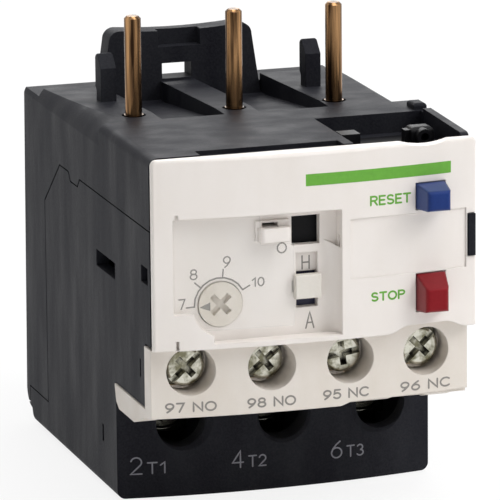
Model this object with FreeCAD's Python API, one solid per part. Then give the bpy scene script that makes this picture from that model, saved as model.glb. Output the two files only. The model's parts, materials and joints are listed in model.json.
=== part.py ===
import FreeCAD, Part
import math
import os
from FreeCAD import Vector

# Three-pole thermal overload relay that hangs under a contactor by its three pins.
# Millimetres. X runs across the front, Y from the front cover to the back, Z up. Depths
# are measured from the foremost line of the front cover. The origin is the middle of
# the footprint, on the level of the base.

# ------------------------------------------------------------------ whole device
WIDTH = 45.0                # across the front cover
DEPTH = 66.2                # front cover to the foot of the back wall
PLATEAU_Z = 50.7            # top face that meets the contactor
WALL = 1.8                  # housing walls
HOUSING_INSET = 0.2         # housing side behind the side of the cover
POLE_GAP = 1.9              # between the rooms of two poles: the barrier and its play
SLIP = 0.1                  # clearance between pieces that only lie side by side
RUNNING_GAP = 0.05          # radial clearance of pins and stems in their bores

# ------------------------------------------------------------------ front cover
COVER_BOW = 1.9             # the sides of the cover lie this far behind its middle
COVER_EDGE = 0.8            # thickness at the left and right edges
COVER_WALL = 1.5            # front wall
COVER_RIM = 2.2             # flat rim around the hollow back
COVER_RISE = 0.1            # top edge above the housing
COVER_BOTTOM_Z = 25.1
COVER_CORNER = 0.8
COVER_SIDE_ROUND = 0.4
ARCH_X = 15.3               # arch in the bottom edge above the last terminal
ARCH_RISE = 1.0
ARCH_HALF = 2.4             # half the flat top of the arch
ARCH_SLOPE = 3.6            # length of each flank
NECK_INSET = 1.2            # dark neck between cover and housing
NECK_WALL = 0.8
NECK_LENGTH = 1.2
LABEL_DEPTH = 0.2
LABEL_LEFT = 4.3
LABEL_SIDE = 1.5            # label recess from the right side of the cover
LABEL_BOTTOM_Z = 33.2
LABEL_TOP_Z = 41.3

# ------------------------------------------------------------------ setting recess
RECESS_SIDE = 2.7           # recess from the left side of the cover
RECESS_RIGHT = 3.05
RECESS_BOTTOM_Z = 25.8
RECESS_TOP_Z = 42.8
RECESS_DEPTH = 2.4          # its floor is a flat plane
RECESS_FLOOR = 1.2
RECESS_CURVE = 2.1          # radius where the floor runs up into the right wall
RECESS_ARC = 4.1            # radius of the bulge of the recess around the dial
ARC_START = 192.0           # degrees around the dial where the bulge starts and ends
ARC_END = 251.0
POCKET_Z = 37.5             # the upper right corner of the recess is square
WINDOW_LEFT = -3.2
WINDOW_RIGHT = 0.7
WINDOW_BOTTOM_Z = 37.9
WINDOW_TOP_Z = 41.85
SLOT_LEFT = -2.6
SLOT_RIGHT = 0.4
SLOT_BOTTOM_Z = 29.4
SLOT_TOP_Z = 34.15
SHALLOW_TOP_Z = 36.8        # shallow pocket above the slot
SHALLOW_DEPTH = 0.7
SLIT_RIB = 0.2              # rib between the slot and the slit to its left
SLIT_WIDTH = 0.3
SLIT_BOTTOM_Z = 31.5
SLIT_TOP_Z = 33.2
WALL_SLOT_FRONT = 0.9       # slot in the right wall of the recess
WALL_SLOT_BACK = 1.7
WALL_SLOT_DEPTH = 0.5
WALL_SLOT_BOTTOM_Z = 37.6
WALL_SLOT_TOP_Z = 39.1
DIP_X = 15.2                # shallow hollow in the top edge
DIP_HALF = 3.3
DIP_DEPTH = 0.5
SEAL_LUG_X = -5.85
SEAL_LUG_Z = 39.85
SEAL_LUG_WIDTH = 4.3
SEAL_LUG_HEIGHT = 1.9
SEAL_LUG_FRONT = 0.6
SEAL_LUG_BAR = 0.7          # bar in front of the slot for the seal wire
SEAL_LUG_LEG = 0.6
SEAL_SLOT_HEIGHT = 0.55
SEAL_PAD = 0.5              # raised pad behind the bar
SEAL_PAD_EDGE = 0.3

# ------------------------------------------------------------------ clear cover
CLEAR_THICKNESS = 0.5
CLEAR_GAP = 0.15
CLEAR_PIN = 0.3
CLEAR_PIN_INSET = 0.5       # pin axis from the left wall of the recess
CLEAR_KNOB_GAP = 0.6        # the clear cover stops short of the selector

# ------------------------------------------------------------------ dial and cam
DIAL_X = -13.15
DIAL_Z = 30.8
DIAL_RADIUS = 3.0
DIAL_FRONT = 2.1
DIAL_CROSS = 1.7            # arm of the cross recess
DIAL_CROSS_WIDTH = 0.8
DIAL_CROSS_DEPTH = 0.7
DIAL_FLANGE = 3.8
FLANGE_THICKNESS = 0.8
STEM_RADIUS = 1.5           # dial shaft and button stems
CAM_RADIUS = 2.4
CAM_OFFSET = 0.6
CAM_THICKNESS = 0.9
ADJUSTER_GAP = 0.3
ADJUSTER_WIDTH = 1.6
ADJUSTER_PIVOT_Z = 44.0
ADJUSTER_REACH = 16.0
ADJUSTER_PIN = 0.7
COMPENSATOR = 0.6

# ------------------------------------------------------------------ push buttons
BUTTON_X = 15.75
RESET_Z = 43.55
RESET_WIDTH = 4.4           # opening in the cover
RESET_HEIGHT = 3.7
RESET_PROUD = 2.8
RESET_TRAVEL = 2.0
STOP_Z = 30.45
STOP_WIDTH = 4.4
STOP_HEIGHT = 5.3
STOP_PROUD = 2.0
STOP_TRAVEL = 1.8
STOP_SLOPE = 1.1            # the top of the red button slopes down to its front
BUTTON_GAP = 0.15
BUTTON_TAPER = 0.5
BUTTON_ROUND = 0.5
BUTTON_FLANGE = 0.8         # retaining flange beyond the opening
BUTTON_FLANGE_DEPTH = 3.2
SPRING_RADIUS = 2.1
SPRING_WIRE = 0.2
SPRING_TURNS = 5

# ------------------------------------------------------------------ reset selector
SELECTOR_TRAVEL = 2.6
KNOB_LEFT = -3.0
KNOB_RIGHT = 0.6
KNOB_BOTTOM_Z = 30.75
KNOB_HEIGHT = 3.25
KNOB_THICKNESS = 1.0
KNOB_ROUND = 0.2
SELECTOR_PLATE = 1.2
SELECTOR_OVERLAP = 0.8

# ------------------------------------------------------------------ mechanism bay
BAY_BACK = 18.6
PARTITION = 2.0
FRAME_FRONT = 9.0           # inner frame that carries the stems
FRAME_THICKNESS = 2.0
FRAME_TOP_Z = 47.0
FLAG_THICKNESS = 0.8
FLAG_TRAVEL = 3.0
FLAG_MARGIN = 0.5
FLAG_MARK = 3.5
NOTCH_LEFT = 6.0            # opening in the top face above the frame
NOTCH_SIDE_WALL = 1.1
NOTCH_BACK = 20.3
NOTCH_FLOOR_Z = 47.9
CLIP_LEFT = 6.9             # block on the left of the notch
CLIP_WIDTH = 2.6
CLIP_FRONT = 11.3
CLIP_LENGTH = 2.7
CLIP_RISE = 2.3
SIDE_LUG_WIDTH = 1.9        # raised lug behind the right end of the notch
SIDE_LUG_LENGTH = 2.8
SIDE_LUG_GAP = 0.6
SIDE_LUG_RISE = 0.9
SIDE_LUG_ROUND = 0.5
RIM_RISE_FRONT = 0.2        # the wall right of the notch rises to the back
RIM_RISE_REAR = 0.5
RIM_REAR_GAP = 1.0
RIM_ROUND = 1.3
BOSS_SIDE = 2.15            # fixing boss in the notch, from the side of the housing
BOSS_WIDTH = 3.2
BOSS_RISE = 2.4
BOSS_FRONT = 12.0
BOSS_LENGTH = 2.6
BOSS_ROUND = 0.7
BOSS_EAR = 0.7
BOSS_EAR_DROP = 0.4
BOSS_EAR_STEP = 0.6
HUB_RADIUS = 1.1
HUB_RISE = 1.2
HUB_LENGTH = 1.0
HUB_HOLE = 0.55

# ------------------------------------------------------------------ contacts
CARRIER_FRONT = 12.4
CARRIER_DEPTH = 2.6
CARRIER_BOTTOM_Z = 36.6
CARRIER_HEIGHT = 2.8
CARRIER_LEFT = -13.0
CARRIER_TRAVEL = 1.8
RAIL_HEIGHT = 1.1
BRIDGE_THICKNESS = 0.6
BRIDGE_WIDTH = 2.0
BRIDGE_BOTTOM_Z = 31.5
TAIL_THICKNESS = 0.8
TAIL_DEPTH = 15.8
TAIL_WIDTH = 2.8
CLOSED_GAP = 0.08
OPEN_REST = 0.1             # what is left of the open gap after the travel

# ------------------------------------------------------------------ control terminals
BLOCK_APEX = 1.5
BLOCK_BACK = 6.3
BLOCK_SIDE = 0.8            # block from the right side of the cover
BLOCK_BOTTOM_Z = 15.6
BLOCK_STEP = 0.5            # the right part of its bottom edge is higher
BLOCK_STEP_X = 3.3
BLOCK_STEP_LENGTH = 1.5
BLOCK_GAP = 0.15
BLOCK_BODY_TOP_Z = 26.0
BAY_FLOOR_Z = 16.4
SHELF_NOSE_Z = 15.1
SHELF_BOTTOM_Z = 13.2
SHELF_FRONT = 11.5
SHELF_BACK = 20.5
CONTROL_LEFT_SIDE = 5.33    # first and last screw from the sides of the cover
CONTROL_RIGHT_SIDE = 6.91
CONTROL_Z = 21.9
CONTROL_HOLE = 3.3
CONTROL_POCKET_FRONT = 6.9
CONTROL_POCKET_HALF = 2.95
CONTROL_POCKET_BACK = 17.0
CONTROL_POCKET_BOTTOM_Z = 17.6
CONTROL_HEAD = 2.65
CONTROL_TURNS = (-42, -38, -8, -44)   # degrees that each screw is turned
SLOT_SHARE = 0.17           # half width of the slot, share of the head's radius
SLOT_DEPTH = 0.8
CROSS_SHARE = 0.62          # reach of the cross
CROSS_DEPTH = 1.4
PAN_SHARE = 0.18            # rounding of the head
CONTROL_HEAD_HEIGHT = 1.9
CONTROL_SHANK = 1.5
CLAMP_THICKNESS = 0.8
CONTROL_PLATE_DEPTH = 10.6
ENTRY_WIDTH = 4.8
ENTRY_BACK = 14.6

# ------------------------------------------------------------------ housing
SEAM_Z = 40.9
SEAM_GAP = 0.2
LATCH_AHEAD = 8.9           # latch window in the seam, ahead of the turn
LATCH_LENGTH = 3.5
LATCH_DROP = 1.2
SEAM_TURN_BACK = 19.3       # seam corners from the foot of the back wall
SEAM_TURN_Z = 34.2
SEAM_REAR_BACK = 11.3
SEAM_FOOT_Z = 5.0
FOOT_BACK = 1.8
FOOT_Z = 2.6
PLATEAU_BACK = 27.2
PLATEAU_ROUND = 1.3         # left edge of the plateau
SHOULDER_ROUND = 4.3
SHOULDER_INSET = 4.1
POCKET_FRONT_Z = 49.6
POCKET_REAR_Z = 46.8
POCKET_BACK = 11.2          # pockets, ledge and base from the foot of the back wall
LEDGE_FRONT_BACK = 8.2
LEDGE_Z = 48.4
LEDGE_REAR_BACK = 1.4
LAND_FRONT_Z = 50.7
LAND_REAR_Z = 49.4
LAND_LEVEL_DEPTH = 31.5
LEFT_LAND_RIGHT = -13.4
MIDDLE_LAND_LEFT = -4.5
MIDDLE_LAND_RIGHT = 0.5
RIGHT_LAND_LEFT = 10.4
LIP_LEFT = -15.2
LIP_RIGHT = 4.6
LIP_LENGTH = 2.4
LIP_DEPTH = 0.6
BASE_FRONT = 18.63          # front of the lower block
BASE_BOW = 2.02
BASE_REAR_BACK = 3.6
BASE_TOP_Z = 13.1
BASE_ROUND = 1.1            # bottom side edges
BASE_WALL_BACK = 22.4
BASE_FLOOR = 2.0
TAIL_CORNER_Z = 4.5
CHAMBER_REAR_BACK = 3.2
CHAMBER_TOP_Z = 45.0
BARRIER = 1.2
SIDE_SLOT_FRONT = 20.2
SIDE_SLOT_LENGTH = 8.95
SIDE_SLOT_Z = 30.7
SIDE_SLOT_HEIGHT = 2.3
SIDE_SLITS = (              # left side: front, length, bottom, height
    (8.6, 0.5, 20.1, 2.5),
    (26.8, 0.7, 6.5, 2.4),
)
SIDE_SLIT_DEPTH = 0.7
PORT_FRONT = 4.9            # small window in the left side
PORT_LENGTH = 3.0
PORT_BOTTOM_Z = 33.4
PORT_HEIGHT = 2.3
TAB_BOTTOM_Z = 34.7
TAB_TOP_Z = 40.4
TAB_DEPTH = 1.5

# ------------------------------------------------------------------ top fittings
PIN_MIDDLE_X = -1.9
PIN_DEPTH = 31.0
PIN_RADIUS = 1.15
PIN_TOP_Z = 64.4
PIN_CHAMFER = 0.35
PIN_COLLAR = 1.35           # stouter part in the housing
PIN_RING = 0.3              # counterbore around it
PIN_COLLAR_RISE = 0.1       # it ends this far above the plateau
POST_DEPTH = 43.0
POST_LEFT_X = -16.2
POST_RIGHT_X = 13.4
POST_WIDTH = 2.2
POST_THICKNESS = 2.2
POST_TOP_Z = 56.6
POST_SLOPE = 1.8            # its top slopes up from the front
POST_BARB = 0.5
POST_BARB_Z = 52.0
POST_ROUND = 0.6
POST_EASE = 0.3
HOOK_FRONT_BACK = 9.2       # front of the plate from the foot of the back wall
HOOK_THICKNESS = 3.4
HOOK_LEFT = -13.3
HOOK_RIGHT = 10.2
HOOK_TAPER = 1.5
HOOK_TOP_Z = 57.0
HOOK_DIP = 0.4              # the top edge sags in the middle
HOOK_ROUND = 1.6
NICHE_DEPTH = 1.6           # a pocket in the front of the plate
NICHE_LEFT = -4.85
NICHE_RIGHT = 1.3
NICHE_Z = 54.35
HOOK_WINDOW_LEFT = -4.3
HOOK_WINDOW_RIGHT = 0.0
HOOK_WINDOW_BOTTOM_Z = 49.8
HOOK_WINDOW_TOP_Z = 52.0

# ------------------------------------------------------------------ power path
BORE_MIDDLE_X = 0.82
BORE_Z = 10.3
BORE_RADIUS = 3.5
BORE_CHAMFER = 0.45
POWER_HEAD = 3.2
POWER_TURNS = (20, -35, 5)
POWER_HEAD_HEIGHT = 2.4
POWER_HEAD_GAP = 5.4        # screw heads behind the front wall of the base
POWER_SHANK = 2.0
POWER_CLAMP_HALF = 4.0
POWER_CLAMP_THICKNESS = 1.3
WIRE_ROOM = 4.6             # between clamp and plate
POWER_PLATE_THICKNESS = 1.2
POWER_PLATE_TOP_Z = 15.4
WIRE_ENTRY_WIDTH = 8.6
LINK_THICKNESS = 1.0
PILLAR_Z = 6.0
PILLAR_HALF = 3.0
BIMETAL_DEPTH = 43.0
BIMETAL_WIDTH = 6.0
BIMETAL_THICKNESS = 1.0
BIMETAL_TOP_Z = 40.0
BIMETAL_NECK_Z = 33.0
BIMETAL_NECK = 2.4
HEATER_GAP = 0.5
HEATER_WIRE = 0.8
HEATER_TURN = 1.2
HEATER_PITCH = 2.2
HEATER_TURNS = 8
HEATER_BOTTOM_Z = 11.0
LINE_LINK_Z = 42.0

# ------------------------------------------------------------------ trip gear
BAR_TRAVEL = 1.5
BAR_Z = 36.5
BAR_HEIGHT = 1.4
BAR_GAP = 0.2
BAR_WIDTH = 6.0
BAR_LEFT_SIDE = 1.6         # ends of the bars from the side walls
BAR_RIGHT_SIDE = 3.9
BAR_PLAY = 0.25
LEVER_DEPTH = 30.0
LEVER_WIDTH = 1.4
LEVER_FRONT = 14.4
LEVER_PLAY = 0.5
LEVER_HUB = 1.8
LEVER_PIN = 0.8

# ------------------------------------------------------------------ worked-out sizes
FRONT_Y = -(DEPTH - RESET_PROUD) / 2
COVER_BACK = COVER_BOW + COVER_EDGE
LABEL_RIGHT = WIDTH / 2 - LABEL_SIDE
RECESS_LEFT = RECESS_SIDE - WIDTH / 2
BLOCK_RIGHT = WIDTH / 2 - BLOCK_SIDE
CONTROL_FIRST_X = CONTROL_LEFT_SIDE - WIDTH / 2
CONTROL_PITCH = (WIDTH - CONTROL_LEFT_SIDE - CONTROL_RIGHT_SIDE) / 3
SEAM_TURN_DEPTH = DEPTH - SEAM_TURN_BACK
SEAM_REAR_DEPTH = DEPTH - SEAM_REAR_BACK
LATCH_FRONT = SEAM_TURN_DEPTH - LATCH_AHEAD
FOOT_DEPTH = DEPTH - FOOT_BACK
POCKET_REAR_DEPTH = DEPTH - POCKET_BACK
LEDGE_FRONT = DEPTH - LEDGE_FRONT_BACK
LEDGE_BACK = DEPTH - LEDGE_REAR_BACK
BASE_BACK = DEPTH - BASE_REAR_BACK
BASE_SIDE_DEPTH = BASE_FRONT + BASE_BOW
CHAMBER_BACK = DEPTH - CHAMBER_REAR_BACK
HOOK_DEPTH = DEPTH - HOOK_FRONT_BACK
POWER_HEAD_DEPTH = BASE_WALL_BACK + POWER_HEAD_GAP
WIRE_ENTRY_FRONT = POWER_HEAD_DEPTH + POWER_HEAD_HEIGHT + POWER_CLAMP_THICKNESS
POWER_PLATE_DEPTH = WIRE_ENTRY_FRONT + WIRE_ROOM
COVER_TOP_Z = PLATEAU_Z + COVER_RISE
RIM_DEPTH = COVER_BACK + NECK_LENGTH
RIM_FOOT_Z = NOTCH_FLOOR_Z
NOTCH_FRONT = RIM_DEPTH
HOUSING_HALF = WIDTH / 2 - HOUSING_INSET
INNER_HALF = HOUSING_HALF - WALL
BAR_LEFT = BAR_LEFT_SIDE - INNER_HALF
BAR_RIGHT = INNER_HALF - BAR_RIGHT_SIDE
CHAMBER_FRONT = BAY_BACK + PARTITION
TRAY_BACK = RECESS_DEPTH + RECESS_FLOOR
FRAME_BACK = FRAME_FRONT + FRAME_THICKNESS
BIMETAL_BOTTOM_Z = PILLAR_Z + LINK_THICKNESS
BAR_TOP_Z = BAR_Z + 2 * BAR_HEIGHT + BAR_GAP
LEVER_LEFT = BAR_RIGHT + LEVER_PLAY
LEVER_RIGHT = LEVER_LEFT + LEVER_WIDTH
LEVER_X = (LEVER_LEFT + LEVER_RIGHT) / 2
LEVER_REAR = BIMETAL_DEPTH + LEVER_WIDTH / 2
CARRIER_RIGHT = LEVER_LEFT - LEVER_PLAY
CARRIER_BACK = CARRIER_FRONT + CARRIER_DEPTH
CARRIER_TOP_Z = CARRIER_BOTTOM_Z + CARRIER_HEIGHT
CAM_FRONT = FRAME_BACK + 2 * SLIP
POLES = (-1, 0, 1)
POLE_PITCH = (2 * INNER_HALF + POLE_GAP) / len(POLES)


# ------------------------------------------------------------------ shape helpers
def at(depth):
    """Y of a depth behind the foremost line of the cover."""
    return FRONT_Y + depth


def slab(x0, x1, d0, d1, z0, z1):
    return Part.makeBox(x1 - x0, d1 - d0, z1 - z0, Vector(x0, at(d0), z0))


def rod_back(radius, x, z, d0, d1):
    """Cylinder along Y."""
    return Part.makeCylinder(radius, d1 - d0, Vector(x, at(d0), z), Vector(0, 1, 0))


def rod_up(radius, x, depth, z0, z1):
    return Part.makeCylinder(radius, z1 - z0, Vector(x, at(depth), z0))


def prism(place, path, sweep):
    """Closed outline swept along a vector; a step of two points is an arc through the first."""
    first = place(*path[0])
    last = first
    edges = []
    for step in path[1:]:
        if isinstance(step[0], tuple):
            end = place(*step[1])
            edges.append(Part.Arc(last, place(*step[0]), end).toShape())
        else:
            end = place(*step)
            edges.append(Part.LineSegment(last, end).toShape())
        last = end
    edges.append(Part.LineSegment(last, first).toShape())
    return Part.Face(Part.Wire(edges)).extrude(sweep)


def side_prism(path, x0, x1):
    """Outline of (depth, z) points swept across the width."""
    return prism(lambda d, z: Vector(x0, at(d), z), path, Vector(x1 - x0, 0, 0))


def front_prism(path, d0, d1):
    """Outline of (x, z) points swept in depth."""
    return prism(lambda x, z: Vector(x, at(d0), z), path, Vector(0, d1 - d0, 0))


def plan_prism(path, z0, z1):
    """Outline of (x, depth) points swept upwards."""
    return prism(lambda x, d: Vector(x, at(d), z0), path, Vector(0, 0, z1 - z0))


def bow_at(x, bow=COVER_BOW):
    """How far the bowed front lies behind its middle at x."""
    radius = ((WIDTH / 2) ** 2 + bow ** 2) / (2 * bow)
    return radius - math.sqrt(radius ** 2 - x ** 2)


def bowed_block(x0, x1, apex, back, z0, z1, bow=COVER_BOW):
    """Block whose front is an arc in plan, foremost at x = 0, and whose back is flat."""
    middle = (x0 + x1) / 2
    arc = ((middle, apex + bow_at(middle, bow)), (x1, apex + bow_at(x1, bow)))
    path = [(x0, apex + bow_at(x0, bow)), arc, (x1, back), (x0, back)]
    return plan_prism(path, z0, z1)


def fuse_all(shapes):
    return shapes[0].multiFuse(shapes[1:]).removeSplitter()


def edges_where(shape, test):
    return [edge for edge in shape.Edges if all(test(vertex.Point) for vertex in edge.Vertexes)]


def turned_box(cx, cz, half_length, half_width, d0, d1, degrees):
    """Bar in a plane parallel to the front, turned about the Y axis through its middle."""
    bar = slab(cx - half_length, cx + half_length, d0, d1, cz - half_width, cz + half_width)
    bar.rotate(Vector(cx, 0, cz), Vector(0, 1, 0), degrees)
    return bar


def pole_x(middle, pole):
    return middle + pole * POLE_PITCH


def control_x(index):
    return CONTROL_FIRST_X + index * CONTROL_PITCH


# ------------------------------------------------------------------ front cover
def arch_path(gap):
    """Top of the arch in the cover's bottom edge, lowered by the gap."""
    base = COVER_BOTTOM_Z - gap
    crown = base + ARCH_RISE
    flank = ARCH_HALF + ARCH_SLOPE
    steep = ARCH_HALF + ARCH_SLOPE / 2
    knee = ARCH_SLOPE / 4
    low = base + ARCH_RISE * 0.12
    high = base + ARCH_RISE * 0.88
    half = base + ARCH_RISE / 2
    return [
        (ARCH_X - flank, base - ARCH_RISE),
        (ARCH_X - flank, base),
        ((ARCH_X - flank + knee, low), (ARCH_X - steep, half)),
        ((ARCH_X - ARCH_HALF - knee, high), (ARCH_X - ARCH_HALF, crown)),
        (ARCH_X + ARCH_HALF, crown),
        ((ARCH_X + ARCH_HALF + knee, high), (ARCH_X + steep, half)),
        ((ARCH_X + flank - knee, low), (ARCH_X + flank, base)),
        (ARCH_X + flank, base - ARCH_RISE),
    ]


def recess_arc_point(degrees):
    """Point on the bulge of the recess around the dial, as (x, z)."""
    turn = math.radians(degrees)
    return DIAL_X + RECESS_ARC * math.cos(turn), DIAL_Z + RECESS_ARC * math.sin(turn)


def recess_outline():
    """Front view of the setting recess; its lower left corner stays at the surface."""
    start = recess_arc_point(ARC_START)
    end = recess_arc_point(ARC_END)
    return [
        (RECESS_LEFT, RECESS_TOP_Z),
        (RECESS_LEFT, start[1]),
        start,
        (recess_arc_point((ARC_START + ARC_END) / 2), end),
        (end[0], RECESS_BOTTOM_Z),
        (RECESS_RIGHT, RECESS_BOTTOM_Z),
        (RECESS_RIGHT, RECESS_TOP_Z),
    ]


def recess_cutter():
    curve_left = RECESS_RIGHT - RECESS_CURVE
    curve_top = RECESS_DEPTH - RECESS_CURVE
    bend = RECESS_CURVE * math.sqrt(0.5)
    plan = [
        (RECESS_LEFT, -1),
        (RECESS_RIGHT, -1),
        (RECESS_RIGHT, curve_top),
        ((curve_left + bend, curve_top + bend), (curve_left, RECESS_DEPTH)),
        (RECESS_LEFT, RECESS_DEPTH),
    ]
    curved = plan_prism(plan, RECESS_BOTTOM_Z, RECESS_TOP_Z)
    curved = curved.common(front_prism(recess_outline(), -1, RECESS_DEPTH))
    pocket = [
        (curve_left - 0.2, POCKET_Z + 1.2),
        (RECESS_RIGHT, POCKET_Z),
        (RECESS_RIGHT, RECESS_TOP_Z),
        (curve_left - 0.2, RECESS_TOP_Z),
    ]
    return curved.fuse(front_prism(pocket, -1, RECESS_DEPTH))


def rounded_cover_blank():
    """Bowed plate with its front edges rounded and its top corners eased."""
    half = WIDTH / 2
    plate = bowed_block(-half, half, 0, COVER_BACK, COVER_BOTTOM_Z, COVER_TOP_Z)
    corners = edges_where(plate, lambda p: abs(abs(p.x) - half) < 0.01 and abs(p.z - COVER_TOP_Z) < 0.01)
    corners = [edge for edge in corners if edge.Length < 2 * COVER_BACK]
    plate = plate.makeFillet(COVER_CORNER, corners)
    front = at(COVER_BOW) + 0.01
    top = edges_where(plate, lambda p: p.y < front and p.z > COVER_TOP_Z - COVER_CORNER - 0.01)
    plate = plate.makeFillet(COVER_SIDE_ROUND, top)
    return plate


def seal_lug_z():
    return SEAL_LUG_Z - SEAL_LUG_HEIGHT / 2, SEAL_LUG_Z + SEAL_LUG_HEIGHT / 2


def seal_lug():
    """Bar on two legs beside the window; the wire of a lead seal goes behind it."""
    left = SEAL_LUG_X - SEAL_LUG_WIDTH / 2
    right = SEAL_LUG_X + SEAL_LUG_WIDTH / 2
    bottom, top = seal_lug_z()
    radius = SEAL_LUG_BAR
    bend = radius * (1 - math.sqrt(0.5))
    front = SEAL_LUG_FRONT
    path = [
        (left, RECESS_DEPTH),
        (left, front + radius),
        ((left + bend, front + bend), (left + radius, front)),
        (right - radius, front),
        ((right - bend, front + bend), (right, front + radius)),
        (right, RECESS_DEPTH),
    ]
    lug = plan_prism(path, bottom, top)
    shelf = slab(left, right, RECESS_DEPTH - SLIP, RECESS_DEPTH + SLIP, bottom, top)
    legs = SEAL_LUG_LEG
    bar_back = front + SEAL_LUG_BAR
    gap = slab(left + legs, SEAL_LUG_X + legs, bar_back, RECESS_DEPTH, bottom - 1, top + 1)
    pad_top = top + SEAL_SLOT_HEIGHT + SEAL_PAD_EDGE
    pad = slab(left - SEAL_PAD_EDGE, right, RECESS_DEPTH - SEAL_PAD, RECESS_DEPTH + SLIP, bottom, pad_top)
    return fuse_all([lug.cut(gap), shelf, pad])


def seal_slot():
    """Slot in the floor of the recess above the seal lug."""
    left = SEAL_LUG_X - SEAL_LUG_WIDTH / 2 + SEAL_LUG_LEG
    right = SEAL_LUG_X + SEAL_LUG_LEG
    bottom = seal_lug_z()[1]
    return slab(left, right, RECESS_DEPTH - 1, TRAY_BACK + 1, bottom, bottom + SEAL_SLOT_HEIGHT)


def top_dip():
    """Shallow hollow in the top edge above the blue button."""
    radius = (DIP_HALF ** 2 + DIP_DEPTH ** 2) / (2 * DIP_DEPTH)
    return rod_back(radius, DIP_X, COVER_TOP_Z + radius - DIP_DEPTH, -1, COVER_BACK + 1)


def opening(x, z, width, height):
    return slab(x - width / 2, x + width / 2, -1, TRAY_BACK, z - height / 2, z + height / 2)


def front_cover():
    half = WIDTH / 2
    cover = rounded_cover_blank()
    inner = half - COVER_RIM
    top = COVER_TOP_Z - COVER_RIM
    bottom = COVER_BOTTOM_Z + COVER_RIM
    cover = cover.cut(bowed_block(-inner, inner, COVER_WALL, COVER_BACK + 1, bottom, top))
    tray_left = -inner + SLIP
    tray_right = RECESS_RIGHT + RECESS_FLOOR
    tray = bowed_block(tray_left, tray_right, 0, TRAY_BACK, COVER_BOTTOM_Z, RECESS_TOP_Z + RECESS_FLOOR)
    cover = cover.fuse(tray).cut(recess_cutter())
    cover = cover.cut(slab(SLOT_LEFT, SLOT_RIGHT, -1, TRAY_BACK, SLOT_BOTTOM_Z, SLOT_TOP_Z))
    shallow = RECESS_DEPTH + SHALLOW_DEPTH
    cover = cover.cut(slab(SLOT_LEFT, SLOT_RIGHT, -1, shallow, SLOT_TOP_Z - 1, SHALLOW_TOP_Z))
    cover = cover.cut(slab(WINDOW_LEFT, WINDOW_RIGHT, -1, TRAY_BACK, WINDOW_BOTTOM_Z, WINDOW_TOP_Z))
    cover = cover.cut(rod_back(DIAL_RADIUS + SLIP, DIAL_X, DIAL_Z, -1, TRAY_BACK))
    cover = cover.fuse(seal_lug()).cut(seal_slot()).cut(top_dip())
    slit_right = SLOT_LEFT - SLIT_RIB
    cover = cover.cut(slab(slit_right - SLIT_WIDTH, slit_right, -1, TRAY_BACK, SLIT_BOTTOM_Z, SLIT_TOP_Z))
    wall_x = RECESS_RIGHT + WALL_SLOT_DEPTH
    cover = cover.cut(
        slab(RECESS_RIGHT - 1, wall_x, WALL_SLOT_FRONT, WALL_SLOT_BACK, WALL_SLOT_BOTTOM_Z, WALL_SLOT_TOP_Z)
    )
    for side in (RECESS_BOTTOM_Z, RECESS_TOP_Z):
        cover = cover.cut(clear_pin(RUNNING_GAP, side))
    cover = cover.cut(opening(BUTTON_X, RESET_Z, RESET_WIDTH, RESET_HEIGHT))
    cover = cover.cut(opening(BUTTON_X, STOP_Z, STOP_WIDTH, STOP_HEIGHT))
    label = slab(LABEL_LEFT, LABEL_RIGHT, -1, COVER_BACK, LABEL_BOTTOM_Z, LABEL_TOP_Z)
    label = label.cut(bowed_block(-half, half, LABEL_DEPTH, COVER_BACK + 1, 0, COVER_TOP_Z))
    cover = cover.cut(label)
    cover = cover.cut(front_prism(arch_path(0), -1, TRAY_BACK + 1))
    notch_left = half - NECK_INSET - SLIP
    notch = slab(notch_left, half + 1, -1, COVER_BACK, TAB_BOTTOM_Z - SLIP, TAB_TOP_Z + SLIP)
    return cover.cut(notch).removeSplitter()


# ------------------------------------------------------------------ clear cover
def clear_axis():
    """X and depth of the hinge of the clear cover."""
    x = RECESS_LEFT + CLEAR_PIN_INSET
    return x, bow_at(RECESS_LEFT) + CLEAR_THICKNESS / 2


def clear_pin(gap, z):
    x, depth = clear_axis()
    return rod_up(CLEAR_PIN + gap, x, depth, z - 2 * CLEAR_PIN, z + 2 * CLEAR_PIN)


def clear_cover():
    """Thin bowed flap over the dial, hinged on two pins at its left edge."""
    left = RECESS_LEFT + CLEAR_GAP
    right = KNOB_LEFT - CLEAR_KNOB_GAP
    bottom = DIAL_Z - DIAL_RADIUS - CLEAR_GAP
    top = RECESS_TOP_Z - CLEAR_GAP
    flap = bowed_block(left, right, 0, COVER_BACK, bottom, top)
    flap = flap.cut(bowed_block(left - 1, right + 1, CLEAR_THICKNESS, COVER_BACK + 1, bottom - 1, top + 1))
    reach = SEAL_LUG_WIDTH / 2 + CLEAR_GAP
    rise = SEAL_LUG_HEIGHT / 2 + CLEAR_GAP
    lug = slab(SEAL_LUG_X - reach, right + 1, -1, COVER_BACK, SEAL_LUG_Z - rise, top + 1)
    flap = flap.cut(lug)
    arc_start, arc_end = recess_arc_point(ARC_START)[1], recess_arc_point(ARC_END)[0]
    corner = slab(left - 1, arc_end + CLEAR_GAP, -1, COVER_BACK, bottom - 1, arc_start + CLEAR_GAP)
    flap = flap.cut(corner.cut(rod_back(RECESS_ARC - CLEAR_GAP, DIAL_X, DIAL_Z, -2, TRAY_BACK)))
    x, depth = clear_axis()
    barrel = rod_up(CLEAR_PIN, x, depth, DIAL_Z, RECESS_TOP_Z + CLEAR_PIN)
    return flap.fuse(barrel).removeSplitter()


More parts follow.
